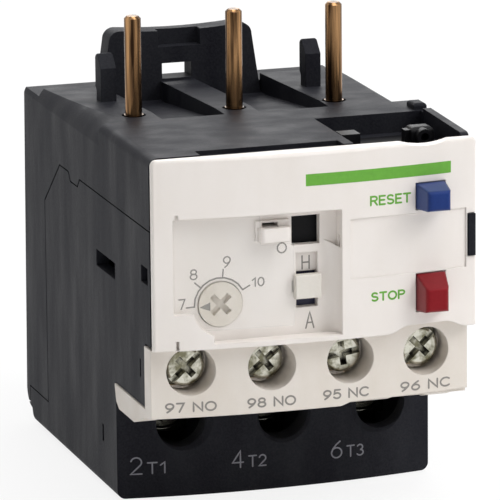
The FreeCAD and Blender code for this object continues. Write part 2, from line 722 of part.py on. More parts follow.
# ------------------------------------------------------------------ dial and adjuster
def setting_dial():
    """Disc with a cross recess, a retaining flange and a shaft to the cam."""
    flange_front = TRAY_BACK + SLIP
    flange_back = flange_front + FLANGE_THICKNESS
    dial = rod_back(DIAL_RADIUS, DIAL_X, DIAL_Z, DIAL_FRONT, flange_front)
    dial = dial.fuse(rod_back(DIAL_FLANGE, DIAL_X, DIAL_Z, flange_front, flange_back))
    shaft_back = CAM_FRONT + CAM_THICKNESS
    dial = dial.fuse(rod_back(STEM_RADIUS, DIAL_X, DIAL_Z, flange_back, shaft_back))
    cross_back = DIAL_FRONT + DIAL_CROSS_DEPTH
    for degrees in (45, -45):
        arm = (DIAL_CROSS, DIAL_CROSS_WIDTH / 2)
        dial = dial.cut(turned_box(DIAL_X, DIAL_Z, *arm, DIAL_FRONT - 1, cross_back, degrees))
    return dial.removeSplitter()


def dial_cam():
    """Eccentric disc on the inner end of the dial shaft, its high side to the left."""
    x = DIAL_X - CAM_OFFSET
    cam = rod_back(CAM_RADIUS, x, DIAL_Z, CAM_FRONT, CAM_FRONT + CAM_THICKNESS)
    return cam.cut(rod_back(STEM_RADIUS + RUNNING_GAP, DIAL_X, DIAL_Z, CAM_FRONT - 1, CARRIER_BACK))


def adjuster_x():
    """Middle of the lever that rides on the cam."""
    return DIAL_X - CAM_OFFSET - CAM_RADIUS - ADJUSTER_GAP - ADJUSTER_WIDTH / 2


def adjusting_lever():
    x = adjuster_x()
    half = ADJUSTER_WIDTH / 2
    bottom = ADJUSTER_PIVOT_Z - ADJUSTER_REACH
    back = CAM_FRONT + CAM_THICKNESS
    lever = slab(x - half, x + half, CAM_FRONT, back, bottom, ADJUSTER_PIVOT_Z)
    lever = lever.fuse(rod_back(ADJUSTER_PIN + half, x, ADJUSTER_PIVOT_Z, CAM_FRONT, back))
    bore = rod_back(ADJUSTER_PIN + RUNNING_GAP, x, ADJUSTER_PIVOT_Z, CAM_FRONT - 1, back + 1)
    return lever.cut(bore).removeSplitter()


def compensator_strip():
    """Bimetal strip along the adjusting lever that allows for the air temperature."""
    right = adjuster_x() - ADJUSTER_WIDTH / 2
    bottom = ADJUSTER_PIVOT_Z - ADJUSTER_REACH
    top = ADJUSTER_PIVOT_Z - 2 * ADJUSTER_WIDTH
    return slab(right - COMPENSATOR, right, CAM_FRONT, CAM_FRONT + CAM_THICKNESS, bottom, top)


# ------------------------------------------------------------------ push buttons
def button_cap(z, width, height, proud, slope):
    """Tapered key that fits its opening, flush behind the cover and smaller at its front."""
    half = width / 2 - BUTTON_GAP
    rise = height / 2 - BUTTON_GAP
    root = bow_at(BUTTON_X)
    back = slab(BUTTON_X - half, BUTTON_X + half, root, BUTTON_FLANGE_DEPTH, z - rise, z + rise)

    def frame(depth, inset, lowered):
        left = BUTTON_X - half + inset
        right = BUTTON_X + half - inset
        bottom = z - rise + inset / 2
        top = z + rise - inset - lowered
        points = [(left, bottom), (right, bottom), (right, top), (left, top), (left, bottom)]
        return Part.makePolygon([Vector(px, at(depth), pz) for px, pz in points])

    key = Part.makeLoft([frame(root, 0, 0), frame(-proud, BUTTON_TAPER, slope)], True, True)
    key = key.makeFillet(BUTTON_ROUND, edges_where(key, lambda p: p.y < at(root) - 0.1))
    return key.fuse(back).removeSplitter()


def push_button(z, width, height, proud, slope, travel):
    """Key, retaining flange behind the cover and a stem through the frame."""
    button = button_cap(z, width, height, proud, slope)
    half = width / 2 + BUTTON_FLANGE
    rise = height / 2 + BUTTON_FLANGE
    back = BUTTON_FLANGE_DEPTH + FLANGE_THICKNESS
    flange = slab(BUTTON_X - half, BUTTON_X + half, BUTTON_FLANGE_DEPTH, back, z - rise, z + rise)
    stem = rod_back(STEM_RADIUS, BUTTON_X, z, back, FRAME_BACK + travel / 2)
    return fuse_all([button, flange, stem])


def reset_button():
    return push_button(RESET_Z, RESET_WIDTH, RESET_HEIGHT, RESET_PROUD, 0, RESET_TRAVEL)


def stop_button():
    return push_button(STOP_Z, STOP_WIDTH, STOP_HEIGHT, STOP_PROUD, STOP_SLOPE, STOP_TRAVEL)


def return_spring(z):
    """Compression spring on a stem, between the flange and the frame."""
    front = BUTTON_FLANGE_DEPTH + FLANGE_THICKNESS + SPRING_WIRE
    length = FRAME_FRONT - SPRING_WIRE - front
    helix = Part.makeHelix(length / SPRING_TURNS, length, SPRING_RADIUS)
    start = Vector(SPRING_RADIUS, 0, 0)
    circle = Part.Wire([Part.makeCircle(SPRING_WIRE, start, Vector(0, 1, 0))])
    coil = Part.Wire(helix.Edges).makePipeShell([circle], True, True)
    coil.rotate(Vector(0, 0, 0), Vector(1, 0, 0), -90)
    coil.translate(Vector(BUTTON_X, at(front), z))
    return coil


def reset_spring():
    return return_spring(RESET_Z)


def stop_spring():
    return return_spring(STOP_Z)


# ------------------------------------------------------------------ reset selector
def selector_neck_z():
    """Bottom and top of the neck that joins knob and slide through the slot."""
    top = SLOT_TOP_Z - SELECTOR_TRAVEL - SLIP
    return SLOT_BOTTOM_Z + 2 * SLIP, top


def selector_knob():
    """Flat finger piece in front of the slot."""
    top = KNOB_BOTTOM_Z + KNOB_HEIGHT
    back = RECESS_DEPTH - SLIP
    front = back - KNOB_THICKNESS
    knob = slab(KNOB_LEFT, KNOB_RIGHT, front, back, KNOB_BOTTOM_Z, top)
    knob = knob.makeFillet(KNOB_ROUND, edges_where(knob, lambda p: p.y < at(front) + 0.01))
    bottom_z, top_z = selector_neck_z()
    neck_bottom = max(bottom_z, KNOB_BOTTOM_Z)
    neck = slab(SLOT_LEFT + SLIP, SLOT_RIGHT - SLIP, back, TRAY_BACK + SLIP, neck_bottom, top_z)
    return knob.fuse(neck).removeSplitter()


def selector_slide():
    """Slide behind the cover that the knob moves between its two positions."""
    front = TRAY_BACK + SLIP
    left = SLOT_LEFT - SELECTOR_OVERLAP
    right = SLOT_RIGHT + SELECTOR_OVERLAP
    bottom = SLOT_BOTTOM_Z - SELECTOR_TRAVEL - SLIP
    return slab(left, right, front, front + SELECTOR_PLATE, bottom, SLOT_TOP_Z + SLIP)


# ------------------------------------------------------------------ mechanism frame
def flag_z():
    return WINDOW_BOTTOM_Z - FLAG_MARGIN, WINDOW_TOP_Z + FLAG_MARGIN


def flag_front():
    return TRAY_BACK + 3 * SLIP


def fixing_boss():
    """Rounded block with a drilled hub that stands on the floor of the notch."""
    right = HOUSING_HALF - BOSS_SIDE
    left = right - BOSS_WIDTH
    back = BOSS_FRONT + BOSS_LENGTH
    bottom = NOTCH_FLOOR_Z - SLIP
    top = NOTCH_FLOOR_Z + BOSS_RISE
    block = slab(left, right, BOSS_FRONT, back, bottom, top)
    block = block.makeFillet(BOSS_ROUND, edges_where(block, lambda p: p.z > top - 0.01))
    ear_front = BOSS_FRONT + BOSS_EAR_STEP
    ear = slab(left - BOSS_EAR, left + BOSS_EAR, ear_front, back - BOSS_EAR_STEP,
               bottom, top - BOSS_EAR_DROP)
    x = (left + right) / 2
    z = NOTCH_FLOOR_Z + HUB_RISE
    front = BOSS_FRONT - HUB_LENGTH
    hub = rod_back(HUB_RADIUS, x, z, front, BOSS_FRONT + HUB_LENGTH)
    return fuse_all([block, ear, hub]).cut(rod_back(HUB_HOLE, x, z, front - 1, BOSS_FRONT + HUB_LENGTH))


def mechanism_frame():
    """Inner frame: bores for the stems and the dial, rails for the contact carrier."""
    half = INNER_HALF - SLIP
    frame = slab(-half, half, FRAME_FRONT, FRAME_BACK, BLOCK_BODY_TOP_Z, FRAME_TOP_Z)
    flag_bottom, flag_top = flag_z()
    pad_front = flag_front() + FLAG_THICKNESS + SLIP
    pad_left = WINDOW_LEFT - FLAG_TRAVEL
    pad_right = WINDOW_RIGHT + FLAG_MARK
    pad = slab(pad_left, pad_right, pad_front, FRAME_FRONT, flag_bottom + 1, flag_top - 1)
    rail_left = CARRIER_LEFT - CARRIER_TRAVEL
    rail_right = BUTTON_X - STEM_RADIUS - CARRIER_TRAVEL
    rail_back = CARRIER_BACK - 2 * SLIP
    low = CARRIER_BOTTOM_Z - SLIP
    high = CARRIER_TOP_Z + SLIP
    lower_rail = slab(rail_left, rail_right, FRAME_BACK, rail_back, low - RAIL_HEIGHT, low)
    upper_rail = slab(rail_left, rail_right, FRAME_BACK, rail_back, high, high + RAIL_HEIGHT)
    floor_top = NOTCH_FLOOR_Z
    shelf = slab(NOTCH_LEFT, half, NOTCH_FRONT, BAY_BACK - SLIP, FRAME_TOP_Z, floor_top)
    clip_right = CLIP_LEFT + CLIP_WIDTH
    clip_back = CLIP_FRONT + CLIP_LENGTH
    clip = slab(CLIP_LEFT, clip_right, CLIP_FRONT, clip_back, floor_top - SLIP, floor_top + CLIP_RISE)
    pivot_x = adjuster_x()
    pivot_back = CAM_FRONT + CAM_THICKNESS
    pivot = rod_back(ADJUSTER_PIN, pivot_x, ADJUSTER_PIVOT_Z, FRAME_BACK, pivot_back)
    frame = fuse_all([frame, pad, lower_rail, upper_rail, shelf, clip, fixing_boss(), pivot])
    bore = STEM_RADIUS + RUNNING_GAP
    for x, z in ((BUTTON_X, RESET_Z), (BUTTON_X, STOP_Z), (DIAL_X, DIAL_Z)):
        frame = frame.cut(rod_back(bore, x, z, FRAME_FRONT - 1, FRAME_BACK + 1))
    return frame.removeSplitter()


def trip_flag():
    """Dark flag behind the window."""
    bottom, top = flag_z()
    left = WINDOW_LEFT - FLAG_MARGIN
    right = WINDOW_RIGHT + FLAG_MARGIN
    return slab(left, right, flag_front(), flag_front() + FLAG_THICKNESS, bottom, top)


def trip_mark():
    """Bright end of the flag that the window shows after a trip."""
    bottom, top = flag_z()
    left = WINDOW_RIGHT + FLAG_MARGIN
    return slab(left, left + FLAG_MARK, flag_front(), flag_front() + FLAG_THICKNESS, bottom, top)


# ------------------------------------------------------------------ contacts
def contact_carrier():
    return slab(CARRIER_LEFT, CARRIER_RIGHT, CARRIER_FRONT, CARRIER_BACK, CARRIER_BOTTOM_Z, CARRIER_TOP_Z)


def normally_open_face():
    """X of the fixed tips of the normally open contact."""
    return control_x(0) + TAIL_WIDTH * 1.65


def normally_closed_face():
    return control_x(2) + TAIL_WIDTH * 1.2


def bridge(left, top):
    right = left + BRIDGE_THICKNESS
    return slab(left, right, CARRIER_BACK, CARRIER_BACK + BRIDGE_WIDTH, BRIDGE_BOTTOM_Z, top)


def bridge_open():
    """Moving strip that closes 97-98 when the relay trips."""
    left = normally_open_face() + CARRIER_TRAVEL + OPEN_REST
    return bridge(left, ADJUSTER_PIVOT_Z)


def bridge_closed():
    """Moving strip that keeps 95-96 closed until the relay trips."""
    left = normally_closed_face() - CLOSED_GAP - BRIDGE_THICKNESS
    return bridge(left, CARRIER_TOP_Z + RAIL_HEIGHT + 2 * SLIP)


def tail(index, riser_left, arms):
    """Terminal plate, step to the back of the bay, riser and the arms to the contact tip."""
    x = control_x(index)
    half = CONTROL_POCKET_HALF - 0.35
    front = CONTROL_PLATE_DEPTH
    flange_z = BLOCK_BODY_TOP_Z - 2 * TAIL_THICKNESS
    top = flange_z + TAIL_THICKNESS
    plate = slab(x - half, x + half, front, front + TAIL_THICKNESS, CONTROL_POCKET_BOTTOM_Z + 0.5, top)
    plate = plate.cut(rod_back(CONTROL_SHANK + RUNNING_GAP, x, CONTROL_Z, front - 1, front + 2))
    riser_right = riser_left + TAIL_WIDTH
    back = TAIL_DEPTH + TAIL_THICKNESS
    step = slab(riser_left, riser_right, front + TAIL_THICKNESS, back, flange_z, top)
    shapes = [plate, step]
    for left, right, bottom, arm_top in arms:
        shapes.append(slab(left, right, TAIL_DEPTH, back, bottom, arm_top))
    return fuse_all(shapes)


def contact_tail_97():
    left = control_x(0) - TAIL_WIDTH / 2
    flange_z = BLOCK_BODY_TOP_Z - 2 * TAIL_THICKNESS
    high = ADJUSTER_PIVOT_Z - 0.5
    arms = [
        (left, left + TAIL_WIDTH, flange_z, high),
        (left, normally_open_face(), high - 2, high),
    ]
    return tail(0, left, arms)


def contact_tail_98():
    left = control_x(1) - TAIL_WIDTH / 2
    flange_z = BLOCK_BODY_TOP_Z - 2 * TAIL_THICKNESS
    tip = normally_open_face()
    low = BRIDGE_BOTTOM_Z - 4
    arms = [
        (left, left + TAIL_WIDTH, flange_z, low + 1.6),
        (tip - 1.6, left + TAIL_WIDTH, low, low + 1.6),
        (tip - 1.6, tip, low, BRIDGE_BOTTOM_Z + 2.5),
    ]
    return tail(1, left, arms)


def contact_tail_95():
    tip = normally_closed_face()
    left = tip - CLOSED_GAP - BRIDGE_THICKNESS - CARRIER_TRAVEL - ADJUSTER_GAP - TAIL_WIDTH
    flange_z = BLOCK_BODY_TOP_Z - 2 * TAIL_THICKNESS
    arm_z = CARRIER_TOP_Z + RAIL_HEIGHT + 1.6
    arms = [
        (left, left + TAIL_WIDTH, flange_z, arm_z + 1.6),
        (left, tip + 2, arm_z, arm_z + 1.6),
        (tip, tip + 2, CARRIER_BOTTOM_Z + 1, arm_z + 1.6),
    ]
    return tail(2, left, arms)


def contact_tail_96():
    left = control_x(3) - TAIL_WIDTH / 2
    flange_z = BLOCK_BODY_TOP_Z - 2 * TAIL_THICKNESS
    tip = normally_closed_face()
    top = BRIDGE_BOTTOM_Z + 2.5
    arms = [
        (left, left + TAIL_WIDTH, flange_z, top),
        (tip, left + TAIL_WIDTH, top - 2, top),
    ]
    return tail(3, left, arms)


# ------------------------------------------------------------------ control terminals
def shelf_path():
    """Side view of the shelf under the terminals, which runs back to the lower block."""
    front = BLOCK_APEX + COVER_BOW
    knee = SHELF_BOTTOM_Z + 0.8
    return [
        (front, BLOCK_BOTTOM_Z),
        (BLOCK_BACK, SHELF_NOSE_Z),
        (SHELF_FRONT, SHELF_BOTTOM_Z),
        (SHELF_BACK - 1.9, SHELF_BOTTOM_Z),
        (SHELF_BACK - 0.6, knee),
        (SHELF_BACK, BAY_FLOOR_Z - 0.5),
        (SHELF_BACK, BAY_FLOOR_Z - SLIP),
        (front, BAY_FLOOR_Z - SLIP),
    ]


def control_terminal_block():
    """White strip with four screw pockets, its body in the housing and the shelf below."""
    half = WIDTH / 2
    top = COVER_BOTTOM_Z - BLOCK_GAP
    slab_front = bowed_block(-half, half, BLOCK_APEX, BLOCK_BACK, BLOCK_BOTTOM_Z, top)
    shelf = side_prism(shelf_path(), -half, half)
    body_half = INNER_HALF - SLIP
    body = slab(-body_half, body_half, BLOCK_BACK, BAY_BACK - SLIP, BLOCK_BOTTOM_Z, BLOCK_BODY_TOP_Z)
    crown = front_prism(arch_path(BLOCK_GAP), -1, BLOCK_BACK)
    crown = crown.common(bowed_block(-half, half, BLOCK_APEX, BLOCK_BACK, 0, COVER_TOP_Z))
    block = fuse_all([slab_front, shelf, body, crown])
    bottom = BLOCK_BOTTOM_Z + BLOCK_STEP
    step_path = [
        (BLOCK_STEP_X, 0),
        (BLOCK_STEP_X, BLOCK_BOTTOM_Z),
        (BLOCK_STEP_X + BLOCK_STEP_LENGTH, bottom),
        (half + 1, bottom),
        (half + 1, 0),
    ]
    block = block.cut(front_prism(step_path, -1, BLOCK_APEX + COVER_BOW + 0.6))
    block = block.cut(slab(BLOCK_RIGHT, half + 1, -1, SHELF_BACK + 1, 0, BLOCK_BODY_TOP_Z + 1))
    for index in range(4):
        x = control_x(index)
        pocket_half = CONTROL_POCKET_HALF
        block = block.cut(rod_back(CONTROL_HOLE, x, CONTROL_Z, -1, CONTROL_POCKET_FRONT))
        pocket = slab(
            x - pocket_half,
            x + pocket_half,
            CONTROL_POCKET_FRONT,
            CONTROL_POCKET_BACK,
            CONTROL_POCKET_BOTTOM_Z,
            BLOCK_BODY_TOP_Z + 1,
        )
        block = block.cut(pocket)
        entry_front = CONTROL_PLATE_DEPTH + TAIL_THICKNESS - ENTRY_WIDTH
        entry_half = ENTRY_WIDTH / 2
        entry = slab(x - entry_half, x + entry_half, entry_front, ENTRY_BACK,
                     0, CONTROL_POCKET_BOTTOM_Z + 1)
        block = block.cut(entry)
    return block.removeSplitter()


def driver_recess(x, z, head, front, degrees):
    """Slot right across a screw head and a deeper cross in its middle."""
    slot = turned_box(x, z, head + 1, head * SLOT_SHARE, front - 1, front + SLOT_DEPTH, degrees)
    arm = head * CROSS_SHARE
    cuts = [slot]
    for turn in (degrees, degrees + 90):
        cuts.append(turned_box(x, z, arm, head * SLOT_SHARE, front - 1, front + CROSS_DEPTH, turn))
    return fuse_all(cuts)


def driven_screw(x, z, head, shank, depths, degrees):
    """Pan-head screw: its front, the back of its head and the end of its shank."""
    front, head_back, shank_back = depths
    pan = rod_back(head, x, z, front, head_back)
    pan = pan.makeFillet(head * PAN_SHARE, edges_where(pan, lambda p: p.y < at(front) + 0.01))
    screw = pan.fuse(rod_back(shank, x, z, head_back, shank_back))
    return screw.cut(driver_recess(x, z, head, front, degrees)).removeSplitter()


def control_screws():
    """Four slotted cross-head terminal screws, each as it was last turned."""
    front = CONTROL_POCKET_FRONT - CONTROL_HEAD_HEIGHT + SLIP
    depths = (front, CONTROL_POCKET_FRONT + SLIP, CONTROL_PLATE_DEPTH + 3 * TAIL_THICKNESS)
    screws = []
    for index, degrees in enumerate(CONTROL_TURNS):
        screws.append(
            driven_screw(control_x(index), CONTROL_Z, CONTROL_HEAD, CONTROL_SHANK, depths, degrees)
        )
    return Part.makeCompound(screws)


def control_clamps():
    """Four square clamp plates under the control screws."""
    front = CONTROL_POCKET_FRONT + SLIP
    half = CONTROL_POCKET_HALF - 0.25
    plates = []
    for index in range(4):
        x = control_x(index)
        plate = slab(x - half, x + half, front, front + CLAMP_THICKNESS, CONTROL_Z - half, CONTROL_Z + half)
        hole = rod_back(CONTROL_SHANK + RUNNING_GAP, x, CONTROL_Z, front - 1, front + 2)
        plates.append(plate.cut(hole))
    return Part.makeCompound(plates)


# ------------------------------------------------------------------ housing
def seam_path(shift):
    """Seam between the housing halves in side view, moved up and outwards by the shift."""
    latch_back = LATCH_FRONT + LATCH_LENGTH - 2 * shift
    points = [
        (-1, SEAM_Z),
        (LATCH_FRONT - 1, SEAM_Z),
        (LATCH_FRONT, SEAM_Z - LATCH_DROP),
        (latch_back, SEAM_Z - LATCH_DROP),
        (latch_back + 1, SEAM_Z),
        (SEAM_TURN_DEPTH, SEAM_Z),
        (SEAM_REAR_DEPTH, SEAM_TURN_Z),
        (SEAM_REAR_DEPTH, SEAM_FOOT_Z),
        (FOOT_DEPTH, SEAM_FOOT_Z),
        (FOOT_DEPTH, FOOT_Z),
        (DEPTH + 1, FOOT_Z),
    ]
    return [(depth + shift, z + shift) for depth, z in points]


def housing_path():
    """Side view of both housing halves together."""
    step_z = COVER_BOTTOM_Z + BLOCK_GAP
    return [
        (BASE_SIDE_DEPTH, 0),
        (BASE_BACK, 0),
        (BASE_BACK + 1, BASE_FLOOR),
        ((FOOT_DEPTH + 1.1, FOOT_Z + 0.3), (DEPTH, TAIL_CORNER_Z)),
        (LEDGE_BACK, LEDGE_Z),
        (LEDGE_FRONT, LEDGE_Z),
        (LEDGE_FRONT, POCKET_REAR_Z),
        (POCKET_REAR_DEPTH, POCKET_REAR_Z),
        (PLATEAU_BACK, POCKET_FRONT_Z),
        (PLATEAU_BACK, PLATEAU_Z),
        (RIM_DEPTH, PLATEAU_Z),
        (RIM_DEPTH, step_z),
        (BLOCK_BACK + SLIP, step_z),
        (BLOCK_BACK + SLIP, BAY_FLOOR_Z),
        (BASE_SIDE_DEPTH, BAY_FLOOR_Z),
    ]


def land(x0, x1):
    """Raised land around a pin that slopes gently to the back."""
    path = [
        (PLATEAU_BACK - 1, POCKET_REAR_Z),
        (PLATEAU_BACK - 1, LAND_FRONT_Z),
        (LAND_LEVEL_DEPTH, LAND_FRONT_Z),
        (LEDGE_FRONT, LAND_REAR_Z),
        (LEDGE_FRONT, POCKET_REAR_Z),
    ]
    return side_prism(path, x0, x1)


def corner_path(side, radius, inset):
    """Front view of what an arc of that radius and width takes off a top corner."""
    half = HOUSING_HALF
    inner = half - inset
    centre_z = PLATEAU_Z - radius
    side_z = centre_z + math.sqrt(radius ** 2 - inset ** 2)
    turn = math.asin(inset / radius) / 2
    middle = (inner + radius * math.sin(turn), centre_z + radius * math.cos(turn))
    return [
        (side * inner, PLATEAU_Z),
        ((side * middle[0], middle[1]), (side * half, side_z)),
        (side * (half + 1), side_z),
        (side * (half + 1), PLATEAU_Z + 1),
        (side * inner, PLATEAU_Z + 1),
    ]


def shoulder_cutter():
    """Takes the long top corners off behind the plateau, and the plateau's left edge."""
    left = front_prism(corner_path(-1, SHOULDER_ROUND, SHOULDER_INSET), PLATEAU_BACK, DEPTH + 1)
    right = front_prism(corner_path(1, SHOULDER_ROUND, SHOULDER_INSET), PLATEAU_BACK, DEPTH + 1)
    edge = front_prism(corner_path(-1, PLATEAU_ROUND, PLATEAU_ROUND), RIM_DEPTH, PLATEAU_BACK)
    return fuse_all([left, right, edge])


def bay_cavity(z0, z1):
    return slab(-INNER_HALF, INNER_HALF, -1, BAY_BACK, z0, z1)


def chambers(z0, z1, front):
    """Three pole chambers between the side walls and the two barriers."""
    edge = POLE_PITCH / 2 + BARRIER / 2
    inside = POLE_PITCH / 2 - BARRIER / 2
    spans = ((-INNER_HALF, -edge), (-inside, inside), (edge, INNER_HALF))
    return fuse_all([slab(x0, x1, front, CHAMBER_BACK, z0, z1) for x0, x1 in spans])


def neck(z0, z1, closed_top):
    """Thin collar in front of the housing rim that the cover seats on."""
    outer = WIDTH / 2 - NECK_INSET
    inner = outer - NECK_WALL
    back = RIM_DEPTH + NECK_LENGTH
    top = z1 - NECK_WALL if closed_top else z1 + 1
    collar = slab(-outer, outer, COVER_BACK, back, z0, z1)
    return collar.cut(slab(-inner, inner, -1, back + 1, z0 - 1, top))


def post(x):
    """Snap post with a sloped top and a barb on its back."""
    back = POST_DEPTH + POST_THICKNESS
    barb_back = back + POST_BARB
    path = [
        (POST_DEPTH, LAND_REAR_Z - 1),
        (POST_DEPTH, POST_TOP_Z - POST_SLOPE),
        (POST_DEPTH + POST_SLOPE, POST_TOP_Z),
        (barb_back - POST_ROUND, POST_TOP_Z),
        (barb_back, POST_TOP_Z - POST_ROUND),
        (barb_back, POST_BARB_Z),
        (back, POST_BARB_Z - POST_BARB),
        (back, LAND_REAR_Z - 1),
    ]
    solid = side_prism(path, x - POST_WIDTH / 2, x + POST_WIDTH / 2)
    low = POST_TOP_Z - POST_SLOPE + 0.01
    eased = edges_where(solid, lambda p: p.z > low and p.y < at(barb_back) - POST_ROUND)
    return solid.makeFillet(POST_EASE, eased)


def hook_plate():
    """Upright plate at the back whose niche and window hold the contactor."""
    base = POCKET_REAR_Z
    slant = HOOK_TAPER * (HOOK_TOP_Z - HOOK_ROUND - base) / (HOOK_TOP_Z - base)
    bend = HOOK_ROUND * (1 - math.sqrt(0.5))
    top = HOOK_TOP_Z
    left = HOOK_LEFT + slant
    right = HOOK_RIGHT - slant
    path = [
        (HOOK_LEFT, base),
        (left, top - HOOK_ROUND),
        ((left + bend, top - bend), (left + HOOK_ROUND, top)),
        (((left + right) / 2, top - HOOK_DIP), (right - HOOK_ROUND, top)),
        ((right - bend, top - bend), (right, top - HOOK_ROUND)),
        (HOOK_RIGHT, base),
    ]
    plate = front_prism(path, HOOK_DEPTH, HOOK_DEPTH + HOOK_THICKNESS)
    niche = slab(NICHE_LEFT, NICHE_RIGHT, HOOK_DEPTH - 1, HOOK_DEPTH + NICHE_DEPTH, NICHE_Z, top + 1)
    window = slab(
        HOOK_WINDOW_LEFT,
        HOOK_WINDOW_RIGHT,
        HOOK_DEPTH - 1,
        HOOK_DEPTH + HOOK_THICKNESS + 1,
        HOOK_WINDOW_BOTTOM_Z,
        HOOK_WINDOW_TOP_Z,
    )
    return plate.cut(niche).cut(window)


def notch_rim(left):
    """Wall right of the notch, rounded at the front and a little higher at the back."""
    rear = NOTCH_BACK - RIM_REAR_GAP
    bend = RIM_ROUND * (1 - math.sqrt(0.5))
    top = PLATEAU_Z + RIM_RISE_FRONT
    path = [
        (RIM_DEPTH, RIM_FOOT_Z),
        (RIM_DEPTH, top - RIM_ROUND),
        ((RIM_DEPTH + bend, top - bend), (RIM_DEPTH + RIM_ROUND, top)),
        (rear, PLATEAU_Z + RIM_RISE_REAR),
        (rear, RIM_FOOT_Z),
    ]
    return side_prism(path, left, HOUSING_HALF)


def side_lug():
    """Rounded lug on the right edge of the plateau."""
    front = NOTCH_BACK + SIDE_LUG_GAP
    top = PLATEAU_Z + SIDE_LUG_RISE
    left = HOUSING_HALF - SIDE_LUG_WIDTH
    lug = slab(left, HOUSING_HALF, front, front + SIDE_LUG_LENGTH, PLATEAU_Z - SIDE_LUG_RISE, top)
    return lug.makeFillet(SIDE_LUG_ROUND, edges_where(lug, lambda p: p.z > top - 0.01))


def bottom_corner(side):
    """What a round takes off a bottom side edge of the housing."""
    half = HOUSING_HALF
    inner = half - BASE_ROUND
    bend = BASE_ROUND * (1 - math.sqrt(0.5))
    path = [
        (side * inner, 0),
        ((side * (half - bend), bend), (side * half, BASE_ROUND)),
        (side * (half + 1), BASE_ROUND),
        (side * (half + 1), -1),
        (side * inner, -1),
    ]
    return front_prism(path, BASE_FRONT - 1, DEPTH + 1)


def upper_housing():
    """Top and back of the housing with the lands, the snap posts and the hook plate."""
    half = HOUSING_HALF
    above = seam_path(SEAM_GAP / 2) + [(DEPTH + 1, PIN_TOP_Z), (-1, PIN_TOP_Z)]
    body = side_prism(housing_path(), -half, half).common(side_prism(above, -half, half))
    lands = [
        land(-half, LEFT_LAND_RIGHT),
        land(MIDDLE_LAND_LEFT, MIDDLE_LAND_RIGHT),
        land(RIGHT_LAND_LEFT, half),
    ]
    body = fuse_all([body] + lands).cut(shoulder_cutter())
    body = body.cut(bay_cavity(0, PLATEAU_Z - WALL))
    body = body.cut(chambers(BASE_FLOOR, CHAMBER_TOP_Z, CHAMBER_FRONT)).cut(bar_slots())
    body = body.cut(slab(LIP_LEFT, LIP_RIGHT, -1, RIM_DEPTH + LIP_LENGTH, PLATEAU_Z - LIP_DEPTH, PIN_TOP_Z))
    notch_right = WIDTH / 2 - NOTCH_SIDE_WALL - HOUSING_INSET
    body = body.cut(slab(NOTCH_LEFT, notch_right, NOTCH_FRONT, NOTCH_BACK, NOTCH_FLOOR_Z, PIN_TOP_Z))
    body = body.cut(slab(notch_right, half + 1, RIM_DEPTH - 1, RIM_DEPTH + RIM_ROUND,
                         RIM_FOOT_Z, PIN_TOP_Z))
    body = body.fuse(notch_rim(notch_right)).fuse(side_lug())
    top = COVER_TOP_Z - NECK_INSET
    body = body.fuse(neck(SEAM_Z + SEAM_GAP / 2, top, True))
    for x in (POST_LEFT_X, POST_RIGHT_X):
        body = body.fuse(post(x))
    body = body.fuse(hook_plate())
    for pole in POLES:
        x = pole_x(PIN_MIDDLE_X, pole)
        body = body.cut(rod_up(PIN_COLLAR + RUNNING_GAP, x, PIN_DEPTH, CHAMBER_TOP_Z - 1, PLATEAU_Z + 1))
        body = body.cut(rod_up(PIN_COLLAR + PIN_RING, x, PIN_DEPTH, PLATEAU_Z - PIN_RING, PLATEAU_Z + 1))
    return body.removeSplitter()


def lower_block():
    """Front of the base, bowed like the cover, with its side corners eased."""
    half = HOUSING_HALF
    return bowed_block(-half, half, BASE_FRONT, BASE_WALL_BACK, 0, BASE_TOP_Z, BASE_BOW)


def lever_bracket():
    """Shelf on the right wall with the pivot pin of the trip lever."""
    front = LEVER_DEPTH - LEVER_HUB
    back = LEVER_DEPTH + LEVER_HUB
    left = LEVER_X - LEVER_HUB
    top = BAR_Z - SLIP
    shelf = slab(left, INNER_HALF + WALL / 2, front, back, top - WALL, top)
    return shelf.fuse(rod_up(LEVER_PIN, LEVER_X, LEVER_DEPTH, top, BAR_TOP_Z + LEVER_PIN))


def lever_slot():
    """Gap in the partition that the front arm of the trip lever swings in."""
    swing = (LEVER_DEPTH - BAY_BACK) * BAR_TRAVEL / (BIMETAL_DEPTH - LEVER_DEPTH)
    left = LEVER_LEFT - swing - LEVER_PLAY
    right = LEVER_RIGHT + LEVER_PLAY
    return slab(left, right, BAY_BACK - 1, CHAMBER_FRONT + 1, BAR_Z - LEVER_PLAY, BAR_TOP_Z + LEVER_PLAY)


def bar_slots():
    """Slots in the two barriers that the trip bars slide in."""
    half = BAR_WIDTH / 2 + SLIP
    edge = POLE_PITCH / 2 + BARRIER
    front = BIMETAL_DEPTH - half
    back = BIMETAL_DEPTH + half
    return slab(-edge, edge, front, back, BAR_Z - SLIP, SEAM_Z)


